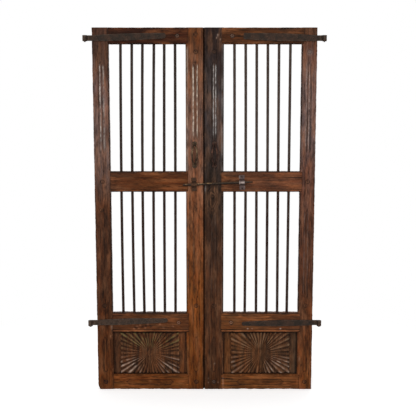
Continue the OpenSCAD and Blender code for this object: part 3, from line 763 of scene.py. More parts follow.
# %% Stile finishes
# For each stile from left to right: its slot, the colour of its film, and its tones from the floor
# up, as (height in metres, colour)
STILE_LOOKS = {
    ("left", "hinge"): ("mid_teak", (206, 194, 184), [
        (0, (100, 56, 25)), (0.1, (88, 48, 22)), (0.5, (73, 42, 25)), (0.95, (79, 49, 33)),
        (1.25, (106, 83, 74)), (1.55, (102, 75, 66)), (1.72, (74, 50, 37)), (1.83, (63, 40, 30))]),
    ("left", "meeting"): ("warm_teak", (214, 196, 178), [
        (0, (96, 52, 19)), (0.5, (123, 68, 28)), (0.95, (124, 77, 50)), (1.3, (112, 82, 68)),
        (1.65, (104, 69, 50)), (1.83, (87, 50, 26))]),
    ("right", "meeting"): ("dark_teak", (192, 186, 182), [
        (0, (69, 40, 21)), (0.6, (73, 45, 29)), (1.05, (43, 34, 28)), (1.3, (68, 56, 52)),
        (1.55, (66, 55, 51)), (1.7, (42, 31, 28)), (1.83, (38, 27, 24))]),
    ("right", "hinge"): ("mid_teak", (172, 150, 142), [
        (0, (110, 62, 29)), (0.5, (85, 51, 33)), (1.05, (97, 63, 50)), (1.35, (107, 84, 77)),
        (1.65, (101, 74, 64)), (1.72, (86, 57, 46)), (1.83, (85, 56, 38))]),
}
stile_finish = {key: teak("_".join(key) + "_teak", True, tones, 3 + k, film)
                for k, (key, (_, film, tones)) in enumerate(STILE_LOOKS.items())}
print("stile finishes", len(stile_finish))

# %% Lay out the carving
SLOPE_W = 14 * MM
SLOPE_DROP = 6 * MM
FLUTE_PITCH = 17 * MM
FLUTE_TOP = LEAF_H - 172 * MM
FLUTE_LENGTH = {"hinge": 440 * MM, "meeting": 375 * MM}
MID_FLUTE = (488 * MM, 930 * MM)
LOW_FLUTE = (97 * MM, 272 * MM)
RING_UP = 6 * MM
CARVING_SHIFT = {("left", "meeting"): 6 * MM}
MIDDLE_Z = rails["left", "middle"][0][2] / 2 + rails["left", "middle"][1][2] / 2
ROSETTE_TOP = FLUTE_TOP + 55 * MM
ROSETTE_LOW = rails["left", "lower"][1][2] + 38 * MM
ROSETTE_FOOT = rails["left", "bottom"][1][2] / 2
# For each stile: the heights of its rosettes and the film on the lowest one
ROSETTES = {
    ("left", "hinge"): ((MIDDLE_Z, ROSETTE_LOW, ROSETTE_FOOT), 0.0),
    ("left", "meeting"): ((ROSETTE_TOP, ROSETTE_LOW, ROSETTE_FOOT), 0.0),
    ("right", "meeting"): ((ROSETTE_TOP, ROSETTE_LOW, ROSETTE_FOOT), 0.12),
    ("right", "hinge"): ((ROSETTE_TOP, MIDDLE_Z, ROSETTE_LOW, ROSETTE_FOOT), 0.0),
}
# How far the rails' shoulders reach over each stile, and up to where that needs no seat
SHOULDER = {("left", "hinge"): 1.5 * MM, ("left", "meeting"): 12 * MM,
            ("right", "meeting"): 13 * MM, ("right", "hinge"): 12 * MM}
RAIL_TUCK = 1.5 * MM
# Ledges in the gap: on which side, from and to which depth, and how far out
GAP_HALF = 2.75 * MM
LAP = 0.3 * MM
LEDGES = {"left": (1, 12 * MM, 18 * MM, GAP_HALF + LAP), "right": (-1, 18.3 * MM, 24.3 * MM, GAP_HALF)}
print("rosettes on stiles", sum(len(heights) for heights, _ in ROSETTES.values()))

# %% Stains in the carving
UPPER_GRIME = 0.7
MID_FILM_SIDE = 3 * MM
MID_FILM_W = 1.8 * MM
# How much of the slopes' film lies beside the lower and beside the upper opening
SLOPE_FILM = (0.2, 1.0)
# For each stile: painted shade and film on its slopes, grime in its low flutes, grime and film in its middle
# flutes, and a film line in each upper flute, as place across from the carving's middle in
# millimetres, strength and half width in millimetres
CARVING_STAIN = {
    ("left", "hinge"): {"slope": (0.7, 0.0), "low": 0.9, "mid": (0.6, 0.0),
                        "lines": ((-4, 1.0, 2.5), (13, 0.4, 3.6))},
    ("left", "meeting"): {"slope": (0.15, 0.28), "low": 0.45, "mid": (0.55, 0.03),
                          "lines": ((-12, 1.2, 2.6), (7.3, 1.0, 2.2))},
    ("right", "meeting"): {"slope": (0.8, 0.2), "low": 0.7, "mid": (0.5, 0.04),
                           "lines": ((-3.5, 0.8, 1.9), (7.7, 0.95, 1.9))},
    ("right", "hinge"): {"slope": (0.6, 0.1), "low": 0.7, "mid": (0.5, 0.2),
                         "lines": ((-12, 0.55, 2.6), (2, 0.65, 2.6))},
}


def fluting(flat, kind, stains, seed):
    """The three pairs of flutes of one stile, with a half ring under the lower two pairs, a stop
    over each pair, and what has settled in them."""
    foot = FLUTE_TOP - FLUTE_LENGTH[kind]
    mid_grime, mid_film = stains["mid"]
    cuts = []
    for k, shift in enumerate((-FLUTE_PITCH / 2, FLUTE_PITCH / 2)):
        line = flat + shift
        place, amount, width = stains["lines"][k]
        cuts += [flute(line, foot, FLUTE_TOP, UPPER_GRIME, seed + 20 + k),
                 flute(line, *LOW_FLUTE, stains["low"], seed + 30 + k),
                 flute(line, *MID_FLUTE, mid_grime, seed + 50 + k, FLUTE_DEPTH / 2),
                 film_line(line - MID_FILM_SIDE, *MID_FLUTE, mid_film, MID_FILM_W, seed + 60 + k),
                 film_line(flat + place * MM, foot, FLUTE_TOP, amount, width * MM, seed + 40 + k)]
    cuts += [half_ring(flat, low + RING_UP, FLUTE_PITCH / 2, -1) for low, _ in (LOW_FLUTE, MID_FLUTE)]
    return cuts + [stop_cut(flat, top) for top in (FLUTE_TOP, MID_FLUTE[1], LOW_FLUTE[1])]


print("film lines", sum(len(stains["lines"]) for stains in CARVING_STAIN.values()))

# %% Marks on single stiles
# Two rosettes, a half ring, a knot with curls beside it, pale chips, scuffs, dirt and a painted highlight on
# a rosette
STILE_MARKS = {
    ("left", "hinge"): [
        rosette(-0.517, 0.936),
        blot(-0.512, 0.041, 17 * MM, 17 * MM, grime=0.45),
        blot(-0.476, 0.330, 3 * MM, 12 * MM, worn=0.8, chalk=0.12),
        blot(-0.484, 0.283, 4 * MM, 5 * MM, worn=1.0),
        blot(-0.513, 1.663, 6 * MM, 3 * MM, grime=0.6)],
    ("left", "meeting"): [
        half_ring(-0.0485, 0.938, 10 * MM, 1),
        rosette(-0.044, 1.802),
        blot(-0.045, 1.669, 13 * MM, 4 * MM, grime=0.7),
        # Painted highlight on the top rosette
        blot(-0.040, 1.713, 6 * MM, 5 * MM, worn=0.9)],
    ("right", "meeting"): [
        blot(0.048, 1.654, 4 * MM, 4 * MM, grime=0.5),
        knot(0.039, 0.990, 30 * MM),
        blot(0.025, 1.047, 6 * MM, 14 * MM, grime=0.8),
        blot(0.050, 1.044, 5 * MM, 10 * MM, worn=0.7),
        blot(0.074, 1.037, 7 * MM, 14 * MM, grime=0.7),
        blot(0.003, 1.045, 4 * MM, 18 * MM, chalk=0.2),
        blot(0.079, 1.116, 2.5 * MM, 9 * MM, worn=1.0),
        blot(0.050, 0.137, 4 * MM, 5 * MM, worn=1.0, chalk=0.1),
        *[blot(x, z, 3 * MM, 4 * MM, worn=1.0, chalk=chalk) for x, z, chalk in (
            (0.018, 0.059, 0.07), (0.018, 0.037, 0.07), (0.068, 0.037, 0.05))],
        blot(0.064, 1.797, 3.5 * MM, 5 * MM, depth=1.5 * MM, worn=1.0, chalk=0.25),
        *[blot(x, z, 2.5 * MM, 4 * MM, depth=1 * MM, worn=1.0, chalk=0.15) for x, z in (
            (0.058, 1.784), (0.077, 1.778))]],
    ("right", "hinge"): [
        blot(0.486, 0.163, 2.5 * MM, 12 * MM, worn=1.0, chalk=0.15),
        blot(0.496, 0.128, 4 * MM, 6 * MM, grime=0.7),
        blot(0.511, 1.656, 4 * MM, 5 * MM, grime=0.6),
        blot(0.513, 1.714, 13 * MM, 15 * MM, chalk=0.3)],
}
print("single marks on stiles", sum(len(marks) for marks in STILE_MARKS.values()))

# %% Carve the stiles
# Steps between points across and along a stile, and for each carved place its reach and step
STILE_STEP = (3.2 * MM, 7 * MM)
FLUTE_ZONE = (FLUTE_PITCH / 2 + FLUTE_W, 1.3 * MM)
ROSETTE_ZONE = (13 * MM, 1.4 * MM)
SLOPE_ZONE = (14 * MM, 3 * MM)
SEAT_ZONE = (5 * MM, 1.4 * MM)
# The worn lower corner: on which stile, how far it has gone, and its reach across and up
WORN_FOOT = ("left", "hinge")
FOOT_WEAR = 9 * MM
FOOT_REACH = (16 * MM, 14 * MM)


def near(spot, reach, step):
    """A fine zone round a spot, for stations."""
    return spot - reach, spot + reach, step


def stile(side, kind, seed):
    """One upright with all its cuts, and the ledge on its gap side if it is a meeting stile."""
    low, high = stile_x[side, kind]
    opens_high = (side == "left") == (kind == "hinge")
    edge, inward = (high, -1) if opens_high else (low, 1)
    flat = (low + high) / 2 + CARVING_SHIFT.get((side, kind), 0)
    stains = CARVING_STAIN[side, kind]
    heights, foot_film = ROSETTES[side, kind]
    seats = [rails[side, rail] for rail in RAIL_KINDS]
    shoulder = SHOULDER[side, kind]
    cuts = [weather(True, seed)] + STILE_MARKS[side, kind]
    # Painted shade on the slopes beside the openings
    grime, film = stains["slope"]
    for (bottom, top), share in zip(openings, SLOPE_FILM):
        cuts.append(slope(0, edge, inward, bottom, top, SLOPE_W, SLOPE_DROP, grime, film * share))
    cuts += fluting(flat, kind, stains, seed)
    cuts += [rosette(flat, z, foot_film * (z == ROSETTE_FOOT)) for z in heights]
    if shoulder > RAIL_TUCK:
        cuts += [housing(edge, inward, shoulder, a[2], b[2]) for a, b in seats]
    front = stations(low + EDGE_ROUND, high - EDGE_ROUND, STILE_STEP[0], [near(flat, *FLUTE_ZONE)])
    fine = [near(z, *ROSETTE_ZONE) for z in heights]
    fine += [near(z, *SLOPE_ZONE) for opening in openings for z in opening]
    fine += [near(corner[2], *SEAT_ZONE) for seat in seats for corner in seat]
    along = stations(0, LEAF_H, STILE_STEP[1], fine)
    lip = LEDGES[side] if kind == "meeting" else NO_LEDGE
    made = board(along, front, FRONT_Y, THICK, True, cuts, seed, lip)
    if (side, kind) == WORN_FOOT:
        x, z = made["points"][:, 0], made["points"][:, 2]
        x += FOOT_WEAR * hill((x - low) / FOOT_REACH[0], z / FOOT_REACH[1])
    return made


for k, key in enumerate(stile_x):
    name = "_".join(key) + "_stile"
    piece(name + "_board", [stile(*key, 100 * (k + 1))], [name], stile_finish[key])
    print(name, made_triangles[name + "_board"], "triangles")

# %% [markdown]
# ## Rails
# The cross pieces are boards that run the other way, so they take the same function with length
# and width swapped, and their shoulders reach a little over the stiles. The lower rail has a round
# bead along its bottom edge. It could be a cylinder laid on the board, but a bead plane cuts it from
# the board itself, so it is a circle drawn out of the face. The bottom rail has a sunk field with a
# point at each end.

# %% Bead and cartouche
BEAD_R = 7 * MM
BEAD_OUT = 4 * MM
CARTOUCHE = (240 * MM, 27 * MM, 2 * MM)
FLOWER_R = 9 * MM


def bead(z0):
    """A round moulding: the face stands on a circle of the bead's radius, and below the circle's
    widest place it runs back under."""
    def cut(x, z):
        reach = z - z0
        round_face = BEAD_R - BEAD_OUT - np.sqrt(np.clip(BEAD_R**2 - reach**2, 0, None))
        on_bead = reach < np.sqrt(BEAD_R**2 - (BEAD_R - BEAD_OUT) ** 2)
        quirk = bell(reach - BEAD_R, 1.6 * MM)
        # Painted highlight along the top of the bead
        rub_and_highlight = bell(reach - 2.5 * MM, 2.2 * MM)
        # Painted shade on the underside of the bead
        under = smooth(-reach, 0, 5 * MM)
        return {"depth": np.where(on_bead, round_face, 0) + 1.0 * MM * quirk,
                "grime": 0.8 * quirk + 0.35 * under, "worn": 0.6 * rub_and_highlight}
    return cut


def cartouche(x0, z0):
    """A sunk field: depth by the distance inside its pointed outline, with a raised flower of four
    petals in the middle and a line cut round it."""
    length, height, sunk = CARTOUCHE

    def cut(x, z):
        across, up = np.abs(x - x0), np.abs(z - z0)
        inside = np.minimum(height / 2 - up, (length / 2 - across - up) * math.sqrt(0.5))
        petals = 0.4 + 0.6 * np.cos(2 * np.arctan2(up, across)) ** 2
        flower = bell(np.hypot(across, up), FLOWER_R) * petals
        line = bell(inside, 1.6 * MM)
        field = smooth(inside, -0.6 * MM, 1.2 * MM)
        return {"depth": sunk * (field * (1 - flower) + 0.4 * line), "grime": 0.85 * line + 0.15 * field,
                "worn": 0.7 * flower}
    return cut


print("bead radius", BEAD_R / MM, "mm and cartouche", CARTOUCHE[0] / MM, "mm long")

# %% Rail finishes and marks
CHIP_AND_HIGHLIGHT = (172, 106, 64)
# Where the tones of each leaf's rails stand, in metres across, and each rail's colours there
TONE_X = {"left": (-0.48, -0.3, -0.09), "right": (0.09, 0.3, 0.48)}
RAIL_TONES = {
    ("left", "top"): ((50, 24, 13), (46, 22, 12), (58, 29, 15)),
    ("left", "middle"): ((77, 47, 30), (81, 44, 21), (84, 47, 24)),
    ("left", "lower"): ((77, 45, 26), (82, 48, 26), (86, 50, 28)),
    ("left", "bottom"): ((100, 55, 23), (102, 55, 22), (104, 58, 24)),
    ("right", "top"): ((80, 46, 24), (71, 42, 23), (69, 42, 25)),
    ("right", "middle"): ((84, 52, 33), (86, 51, 33), (86, 51, 34)),
    ("right", "lower"): ((99, 59, 31), (93, 55, 30), (87, 51, 30)),
    ("right", "bottom"): ((101, 59, 28), (101, 59, 28), (99, 57, 28)),
}
# Marks on single rails: chips down to orange wood, dark gaps between them, nicks in the bead as
# (place across, film), pale streaks of grain and scratches
CHIPS = ((-0.347, 0.336), (-0.331, 0.342), (-0.338, 0.325), (-0.292, 0.345), (-0.362, 0.323),
         (-0.305, 0.327), (-0.229, 0.347), (-0.211, 0.327), (-0.163, 0.335), (-0.393, 0.309))
DARK_GAPS = ((-0.318, 0.334), (-0.352, 0.327), (-0.300, 0.337), (-0.277, 0.336))
BEAD_NICKS = ((0.220, 0.7), (0.242, 0.3), (0.388, 1.0))
RAIL_MARKS = {
    ("left", "lower"): [
        *[blot(x, z, 5 * MM, 3 * MM, depth=0.8 * MM, worn=1.0, chalk=0.07) for x, z in CHIPS],
        *[blot(x, z, 9 * MM, 6 * MM, grime=0.7) for x, z in DARK_GAPS]],
    ("right", "lower"): [
        blot(0.270, 0.384, 32 * MM, 2.5 * MM, worn=1.0),
        blot(0.322, 0.389, 26 * MM, 3 * MM, worn=1.0),
        blot(0.180, 0.389, 12 * MM, 5 * MM, worn=0.9),
        blot(0.131, 0.353, 7 * MM, 5 * MM, worn=0.9),
        *[blot(x, 0.3225, 3 * MM, 2.5 * MM, worn=1.0, chalk=chalk) for x, chalk in BEAD_NICKS],
        blot(0.150, 0.311, 35 * MM, 5 * MM, worn=0.8)],
    ("right", "middle"): [
        blot(0.098, 1.105, 16 * MM, 2.5 * MM, worn=1.0),
        blot(0.372, 1.078, 34 * MM, 2 * MM, worn=0.9)],
    ("right", "bottom"): [
        blot(0.290, 0.0615, 160 * MM, 2.5 * MM, worn=0.7),
        blot(0.095, 0.040, 2.5 * MM, 26 * MM, worn=0.9, chalk=0.15),
        blot(0.478, 0.040, 2.5 * MM, 26 * MM, worn=0.7)],
}
print("single marks on rails", sum(len(marks) for marks in RAIL_MARKS.values()))

# %% Carve the rails
RAIL_SLOPE = (9 * MM, 5 * MM)
ROSETTE_INSET = 40 * MM
ROSETTE_FILM = 0.2
RAIL_THIN = 1 * MM
# Steps across and along a rail, and closer ones along the lower rail, on the bead and on the field
RAIL_STEP = (3 * MM, 6 * MM)
LOWER_STEP = 3 * MM
BEAD_STEP = 0.9 * MM
CARTOUCHE_ZONE = (18 * MM, 1.5 * MM)
# A length in metres that runs well past the ends of any rail
PAST = 1.0


def between_stiles(side):
    """Where the space between a leaf's two stiles starts and where it stops."""
    hinge, meeting = stile_x[side, "hinge"], stile_x[side, "meeting"]
    return min(hinge[1], meeting[1]), max(hinge[0], meeting[0])


def rail(side, kind, seed):
    """One cross piece between the stiles, with its slopes, bead or cartouche."""
    (_, _, low), (_, _, high) = rails[side, kind]
    start, stop = between_stiles(side)
    inner = stop - ROSETTE_INSET if side == "left" else start + ROSETTE_INSET
    middle = (low + high) / 2
    ends = ("hinge", "meeting") if side == "left" else ("meeting", "hinge")
    first, last = start - SHOULDER[side, ends[0]], stop + SHOULDER[side, ends[1]]
    cuts = [weather(False, seed)] + RAIL_MARKS.get((side, kind), [])
    cuts += [blot(end, middle, 3 * MM, PAST, grime=0.6) for end in (first, last)]
    fine_z, fine_x = [], []
    if kind in ("middle", "lower"):
        cuts.append(slope(1, high, -1, start - PAST, stop + PAST, *RAIL_SLOPE, 1.0))
    # Painted shade on the slopes along the lower edges of the top and middle rails
    if kind in ("top", "middle"):
        cuts.append(slope(1, low, 1, start - PAST, stop + PAST, *RAIL_SLOPE, 0.5))
    if kind in ("top", "lower"):
        cuts.append(rosette(inner, middle, ROSETTE_FILM))
        fine_x.append(near(inner, *ROSETTE_ZONE))
        fine_z.append(near(middle, *ROSETTE_ZONE))
    if kind == "lower":
        cuts.append(bead(low + BEAD_R))
        fine_z.append((low, low + 2.5 * BEAD_R, BEAD_STEP))
    if kind == "bottom":
        cuts.append(cartouche((start + stop) / 2, middle))
        fine_z.append(near(middle, *CARTOUCHE_ZONE))
    front = stations(low + EDGE_ROUND, high - EDGE_ROUND, RAIL_STEP[0], fine_z)
    along = stations(first, last, LOWER_STEP if kind == "lower" else RAIL_STEP[1], fine_x)
    return board(along, front, FRONT_Y, THICK - RAIL_THIN, False, cuts, seed)


for k, (key, colours) in enumerate(RAIL_TONES.items()):
    name = "_".join(key) + "_rail"
    finish = teak(name + "_teak", False, list(zip(TONE_X[key[0]], colours)), 11 + k, rubbed=CHIP_AND_HIGHLIGHT)
    piece(name + "_board", [rail(*key, 600 + 50 * k)], [name], finish)
    print(name, made_triangles[name + "_board"], "triangles")

# %% [markdown]
# ## Sunburst panels
# The finest carving on the door: forty rays widen from a worn hub to the edge of a raised field.
# One ray could be modelled and turned forty times, but then all would be alike and end on a circle.
# Round the middle the angle alone says where a point lies between two rays, so a ray is a formula
# of the angle and the groove beside it gets deeper with the distance from the hub. The field ends
# on a rectangle, a little further out at the crown of each ray, which gives the scalloped rim.

# %% Sunburst
BURST_HALF = np.array([151, 107.5]) * MM
BURST_RISE = 6.5 * MM
RAYS = 40
GROOVE = 5.2 * MM
HUB_R = 20 * MM
HUB_RISE = 1.5 * MM
SCALLOP = 4 * MM


def sunburst(x0, z0, film_high, film_low, film_lean, seed):
    """Height over the border: the rise inside the rim and a low hub, less a groove, which is an even
    S of the distance from the ray's crown times the square root of the reach from the hub. The low
    film lies in both corners, and more in the right one as film_lean grows."""
    def cut(x, z):
        u, v = x - x0, z - z0
        reach = np.hypot(u, v)
        angle = np.arctan2(v, u)
        circle = np.cos(angle), np.sin(angle)
        turn = angle / (2 * np.pi) * RAYS + 0.2 * ripple(*circle, seed, 0.8, 0.8)
        signed = turn - np.round(turn)
        off_crown = np.abs(signed) * 2
        out = np.clip((reach - 0.6 * HUB_R) / (BURST_HALF[0] - HUB_R), 0, 1)
        rim = np.maximum(np.abs(u) - BURST_HALF[0], np.abs(v) - BURST_HALF[1]) + SCALLOP * off_crown**2
        field = 1 - smooth(rim, -1.5 * MM, 2 * MM)
        uneven = 1 + 0.2 * ripple(u, v, seed + 1, 50 * MM, 50 * MM)
        groove = GROOVE * np.sqrt(out) * smooth(off_crown, 0.1, 0.95) * uneven
        lumps = 1 + 0.4 * ripple(u, v, seed + 2, 12 * MM, 12 * MM)
        hub = HUB_RISE * (1 - smooth(reach, 0.5 * HUB_R, HUB_R)) * lumps
        # The crown of each ray is painted paler, as rubbed wood and as a highlight, and film settles on it
        crown = bell(signed + 0.12, 0.17) * field * smooth(out, 0.02, 0.15)
        patch = np.clip(0.6 + 0.5 * ripple(u, v, seed + 3, 45 * MM, 45 * MM)
                        + 0.5 * ripple(*circle, seed + 4, 0.25, 0.25), 0, 1.3)
        foot = bell(np.clip(rim, 0, None), 5 * MM) * (1 - field)
        corner = smooth(np.abs(u) + film_lean * u, 25 * MM, 95 * MM)
        upper, lower = smooth(v, 0, 60 * MM), smooth(-v, 0, 60 * MM)
        film = np.where(v > 0, film_high * upper, film_low * lower * corner)
        valley = field * smooth(off_crown, 0.45, 0.9) * smooth(out, 0.0, 0.08)
        core = bell(reach, 16 * MM) * np.clip(ripple(u, v, seed + 6, 10 * MM, 10 * MM), 0, 1)
        return {"depth": -(field * (BURST_RISE - groove + hub)), "grime": 0.62 * valley + 0.7 * foot,
                "chalk": film * crown * patch, "worn": 0.55 * crown * patch + 0.8 * core}
    return cut


print("sunburst of", RAYS, "rays on", *(2 * BURST_HALF / MM), "mm")

# %% Carve the panels
BORDER_RECESS = 13 * MM
PANEL_TUCK = 4 * MM
PANEL_STEP = 1.3 * MM
# For each panel: its tones as (place across in metres, colour)
PANEL_TONES = {
    "left": [(-0.47, (78, 48, 30)), (-0.41, (85, 53, 33)), (-0.16, (88, 55, 33)), (-0.09, (96, 57, 32))],
    "right": [(0.09, (90, 55, 29)), (0.16, (88, 55, 31)), (0.41, (80, 52, 33)), (0.48, (72, 51, 35))],
}
# For each panel: the film's colour on its upper and its lower half, its strength on both, and its lean
PANEL_FILM = {"left": ((108, 102, 62), (178, 154, 138), 0.6, 0.7, 0.0),
              "right": ((140, 118, 92), (186, 162, 144), 0.4, 0.75, 0.6)}


def panel(side, seed):
    """The panel as a board whose front is the sunburst, tucked a little into the frame round it."""
    start, stop = between_stiles(side)
    low, high = rails[side, "bottom"][1][2], rails[side, "lower"][0][2]
    mid_x, mid_z = (start + stop) / 2, (low + high) / 2
    cuts = [weather(True, seed, 0.25 * MM, 0.3, 0.1),
            sunburst(mid_x, mid_z, *PANEL_FILM[side][2:], seed + 5)]
    # The panel is darker along the frame round it: dirt and painted shade in the recess
    cuts += [blot(edge, mid_z, 9 * MM, (stop - start) / 2, grime=0.9) for edge in (start, stop)]
    cuts += [blot(mid_x, edge, PAST, 7 * MM, grime=0.9) for edge in (low, high)]
    field = near(mid_x, BURST_HALF[0] + 5 * MM, PANEL_STEP)
    front = stations(start - PANEL_TUCK, stop + PANEL_TUCK, 4 * MM, [field])
    along = stations(low - PANEL_TUCK, high + PANEL_TUCK, PANEL_STEP)
    face = FRONT_Y + BORDER_RECESS
    return board(along, front, face, box(f"{side}_carved_panel")[1][1] - face, True, cuts, seed)


for k, side in enumerate(SIDES):
    high_film, low_film = PANEL_FILM[side][:2]
    finish = teak(side + "_panel_teak", True, PANEL_TONES[side], 31 + k, high_film, low_film, tone_axis=0)
    name = side + "_carved_panel"
    piece(name + "_board", [panel(side, 1500 + 100 * k)], [name], finish)
    print(name, made_triangles[name + "_board"], "triangles")

# %% [markdown]
# ## Iron
# All the ironwork was forged by hand: brown with old rust, darker in the pits, and rubbed paler on
# edges that hands and bolts have touched. The finish is a mottle of two browns with fine pits, and
# in places painted highlights and painted shade.
# Two more shapes are needed beside the board: a flat bar bent along a path, for straps and loops,
# and a round bar along a path, for window bars, the bolt and the pulls. Curve objects with a bevel
# would do for both, but arrays let every point know how near an edge or how high on a dent it is.

# %% Iron finish
PIT = (24, 17, 14)
IRON_GRIME_AND_SHADE = (22, 16, 13)


def iron(name, skin, rust, bare_and_highlight, low_skin=None):
    """skin and rust are the two browns, bare_and_highlight the rubbed metal and the painted highlights,
    low_skin the brown near the floor.
    """
    made, tree = empty_material(name)
    place = node(tree, "TexCoord")["Object"]
    cloud = noise(tree, place, 34, 5, 0.6)
    mottle = noise(tree, place, 190, 5, 0.7)
    pits = noise(tree, place, 700, 2, 0.6)
    tone = rgb(*skin)
    if low_skin:
        upper = remap(tree, node(tree, "SeparateXYZ", {0: place})[2], 0.95, 1.25)
        tone = mix_colour(tree, upper, rgb(*low_skin), tone)
    colour = mix_colour(tree, remap(tree, cloud, 0.42, 0.66), tone, rgb(*rust))
    colour = lit(tree, colour, math_node(tree, "MULTIPLY_ADD", mottle, 1.3, 0.38))
    hole = math_node(tree, "MULTIPLY", remap(tree, pits, 0.58, 0.7), 0.5)
    colour = mix_colour(tree, hole, colour, rgb(*PIT))
    worn = node(tree, "Attribute", attribute_name="worn")["Fac"]
    rub_and_highlight = math_node(tree, "MULTIPLY", worn, remap(tree, mottle, 0.35, 0.62), clamp=True)
    colour = mix_colour(tree, rub_and_highlight, colour, rgb(*bare_and_highlight))
    dirt_and_shade = node(tree, "Attribute", attribute_name="grime")["Fac"]
    colour = mix_colour(tree, dirt_and_shade, colour, rgb(*IRON_GRIME_AND_SHADE))
    rough = math_node(tree, "MULTIPLY_ADD", mottle, 0.4, 0.42)
    relief = math_node(tree, "MULTIPLY_ADD", pits, -0.5, mottle)
    surface(tree, colour, rough, relief, 0.5, 0.0008)
    return made


strap_iron = iron("strap_iron", (44, 37, 32), (64, 47, 38), (98, 80, 68))
bar_iron = {"left": iron("left_bar_iron", (46, 38, 34), (48, 37, 32), (84, 70, 60), (40, 23, 17)),
            "right": iron("right_bar_iron", (64, 53, 47), (60, 48, 42), (96, 82, 72), (40, 21, 15))}
pull_iron = {"left": iron("left_pull_iron", (42, 32, 25), (38, 28, 21), (150, 122, 92)),
             "right": iron("right_pull_iron", (46, 33, 28), (40, 26, 22), (110, 76, 62))}
loop_iron = {"left": iron("brown_iron", (72, 49, 35), (62, 42, 30), (112, 82, 60)),
             "right": iron("grey_iron", (86, 71, 68), (72, 56, 52), (194, 178, 170))}
bolt_iron = iron("bolt_iron", (50, 42, 36), (45, 36, 30), (158, 124, 88))
print("iron finishes ready")

# %% Round bars
def along_path(path):
    """The direction of a path at each of its points, and the distance run up to each."""
    run = np.gradient(path, axis=0)
    run = run / np.linalg.norm(run, axis=1, keepdims=True)
    steps = np.linalg.norm(np.diff(path, axis=0), axis=1)
    return run, np.concatenate([[0], np.cumsum(steps)])[:, None]


def round_bar(path, radius, around, seed, dents=0.2 * MM, worn=0.3):
    """A round bar: a circle square to the path at each of its points, with the radius given there
    and a ripple of dents. path is (points, 3) and nowhere runs along the y axis."""
    run, length = along_path(path)
    side = np.cross(run, (0.0, 1.0, 0.0))
    side = side / np.linalg.norm(side, axis=1, keepdims=True)
    front = np.cross(side, run)
    angle = np.linspace(0, 2 * np.pi, around, endpoint=False)
    bumps = ripple(length, 12 * MM * np.cos(angle), seed, 30 * MM, 20 * MM)
    bumps = bumps + ripple(length, 12 * MM * np.sin(angle), seed + 1, 30 * MM, 20 * MM)
    reach = np.broadcast_to(radius, len(path))[:, None] + dents * 0.5 * bumps
    spoke = np.cos(angle)[None, :, None] * side[:, None] + np.sin(angle)[None, :, None] * front[:, None]
    return shell(path[:, None] + reach[..., None] * spoke, worn=worn * np.clip(bumps * 0.5 + 0.3, 0, 1))


print("round bars ready")

# %% Flat bars and turned shapes
def flat_bar(path, half_w, thick, seed, rounding=1.3 * MM, dents=0.25 * MM):
    """A flat bar: a rounded rectangle carried along a bent path in the plane of length and depth.
    Answers length, depth and width of every ring point, and how near an edge it is."""
    run, length = along_path(path)
    normal = np.stack([-run[:, 1], run[:, 0]], 1)
    line, turn = np.linspace(-1, 1, 9), np.radians([30, 60, 90])
    one, cos, sin = np.ones(3), np.cos(turn), np.sin(turn)
    face = np.concatenate([line * 0 + 1, one, -one, line * 0 - 1, -one, one])
    wide = np.concatenate([line, one, one, line[::-1], -one, -one])
    round_d = np.concatenate([line * 0 + 1, cos, -cos[::-1], line * 0 - 1, -cos, cos[::-1]])
    round_w = np.concatenate([line * 0, sin, sin[::-1], line * 0, -sin, -sin[::-1]])
    half_t = np.broadcast_to(thick, len(path))[:, None] / 2
    half_w = np.broadcast_to(half_w, len(path))[:, None]
    r = np.minimum(rounding, half_w * 0.9)
    width = wide * (half_w - r) + r * round_w
    hammer = dents * ripple(length, width, seed, 16 * MM, 14 * MM)
    flat = np.abs(round_w) < 0.1
    off = face * (half_t - rounding - flat * np.abs(hammer)) + rounding * round_d
    point = path[:, None] + normal[:, None] * off[..., None]
    rubbed = np.clip(0.5 + ripple(length, width, seed + 1, 40 * MM, 60 * MM), 0, 1)
    edge = np.broadcast_to(np.abs(wide) > 0.99, width.shape) * rubbed
    return point[..., 0], point[..., 1], width, edge


def lathe(profile, centre, axis, around, seed, dents=0.15 * MM):
    """A turned shape: each (radius, height) of the profile becomes a circle round an axis through
    the centre, rippled a little. axis is 1 for one that comes out of the door and 2 for upright."""
    radius, height = np.array(profile).T[..., None] * MM
    angle = np.linspace(0, 2 * np.pi, around, endpoint=False)
    bumps = ripple(np.cos(angle) + height * 40, np.sin(angle), seed, 1.2, 1.2)
    radius = radius + dents * bumps * (radius > 0.5 * MM)
    flat, up = np.broadcast_arrays(radius * np.cos(angle), height)
    other = radius * np.sin(angle)
    local = np.stack([flat, -up, other] if axis == 1 else [flat, other, up], -1)
    return shell(local + np.array(centre), worn=np.clip(up / up.max(), 0, 1) * 0.35)


print("flat bars and turned shapes ready")

# %% [markdown]
# ## Window bars
# Six thin round bars stand in each leaf. Cylinders would stand too straight: these are old rods
# that have bent a little. So each path is its straight line plus a curve through three places, how
# far the bar stands off that line at its foot, its middle and its head.

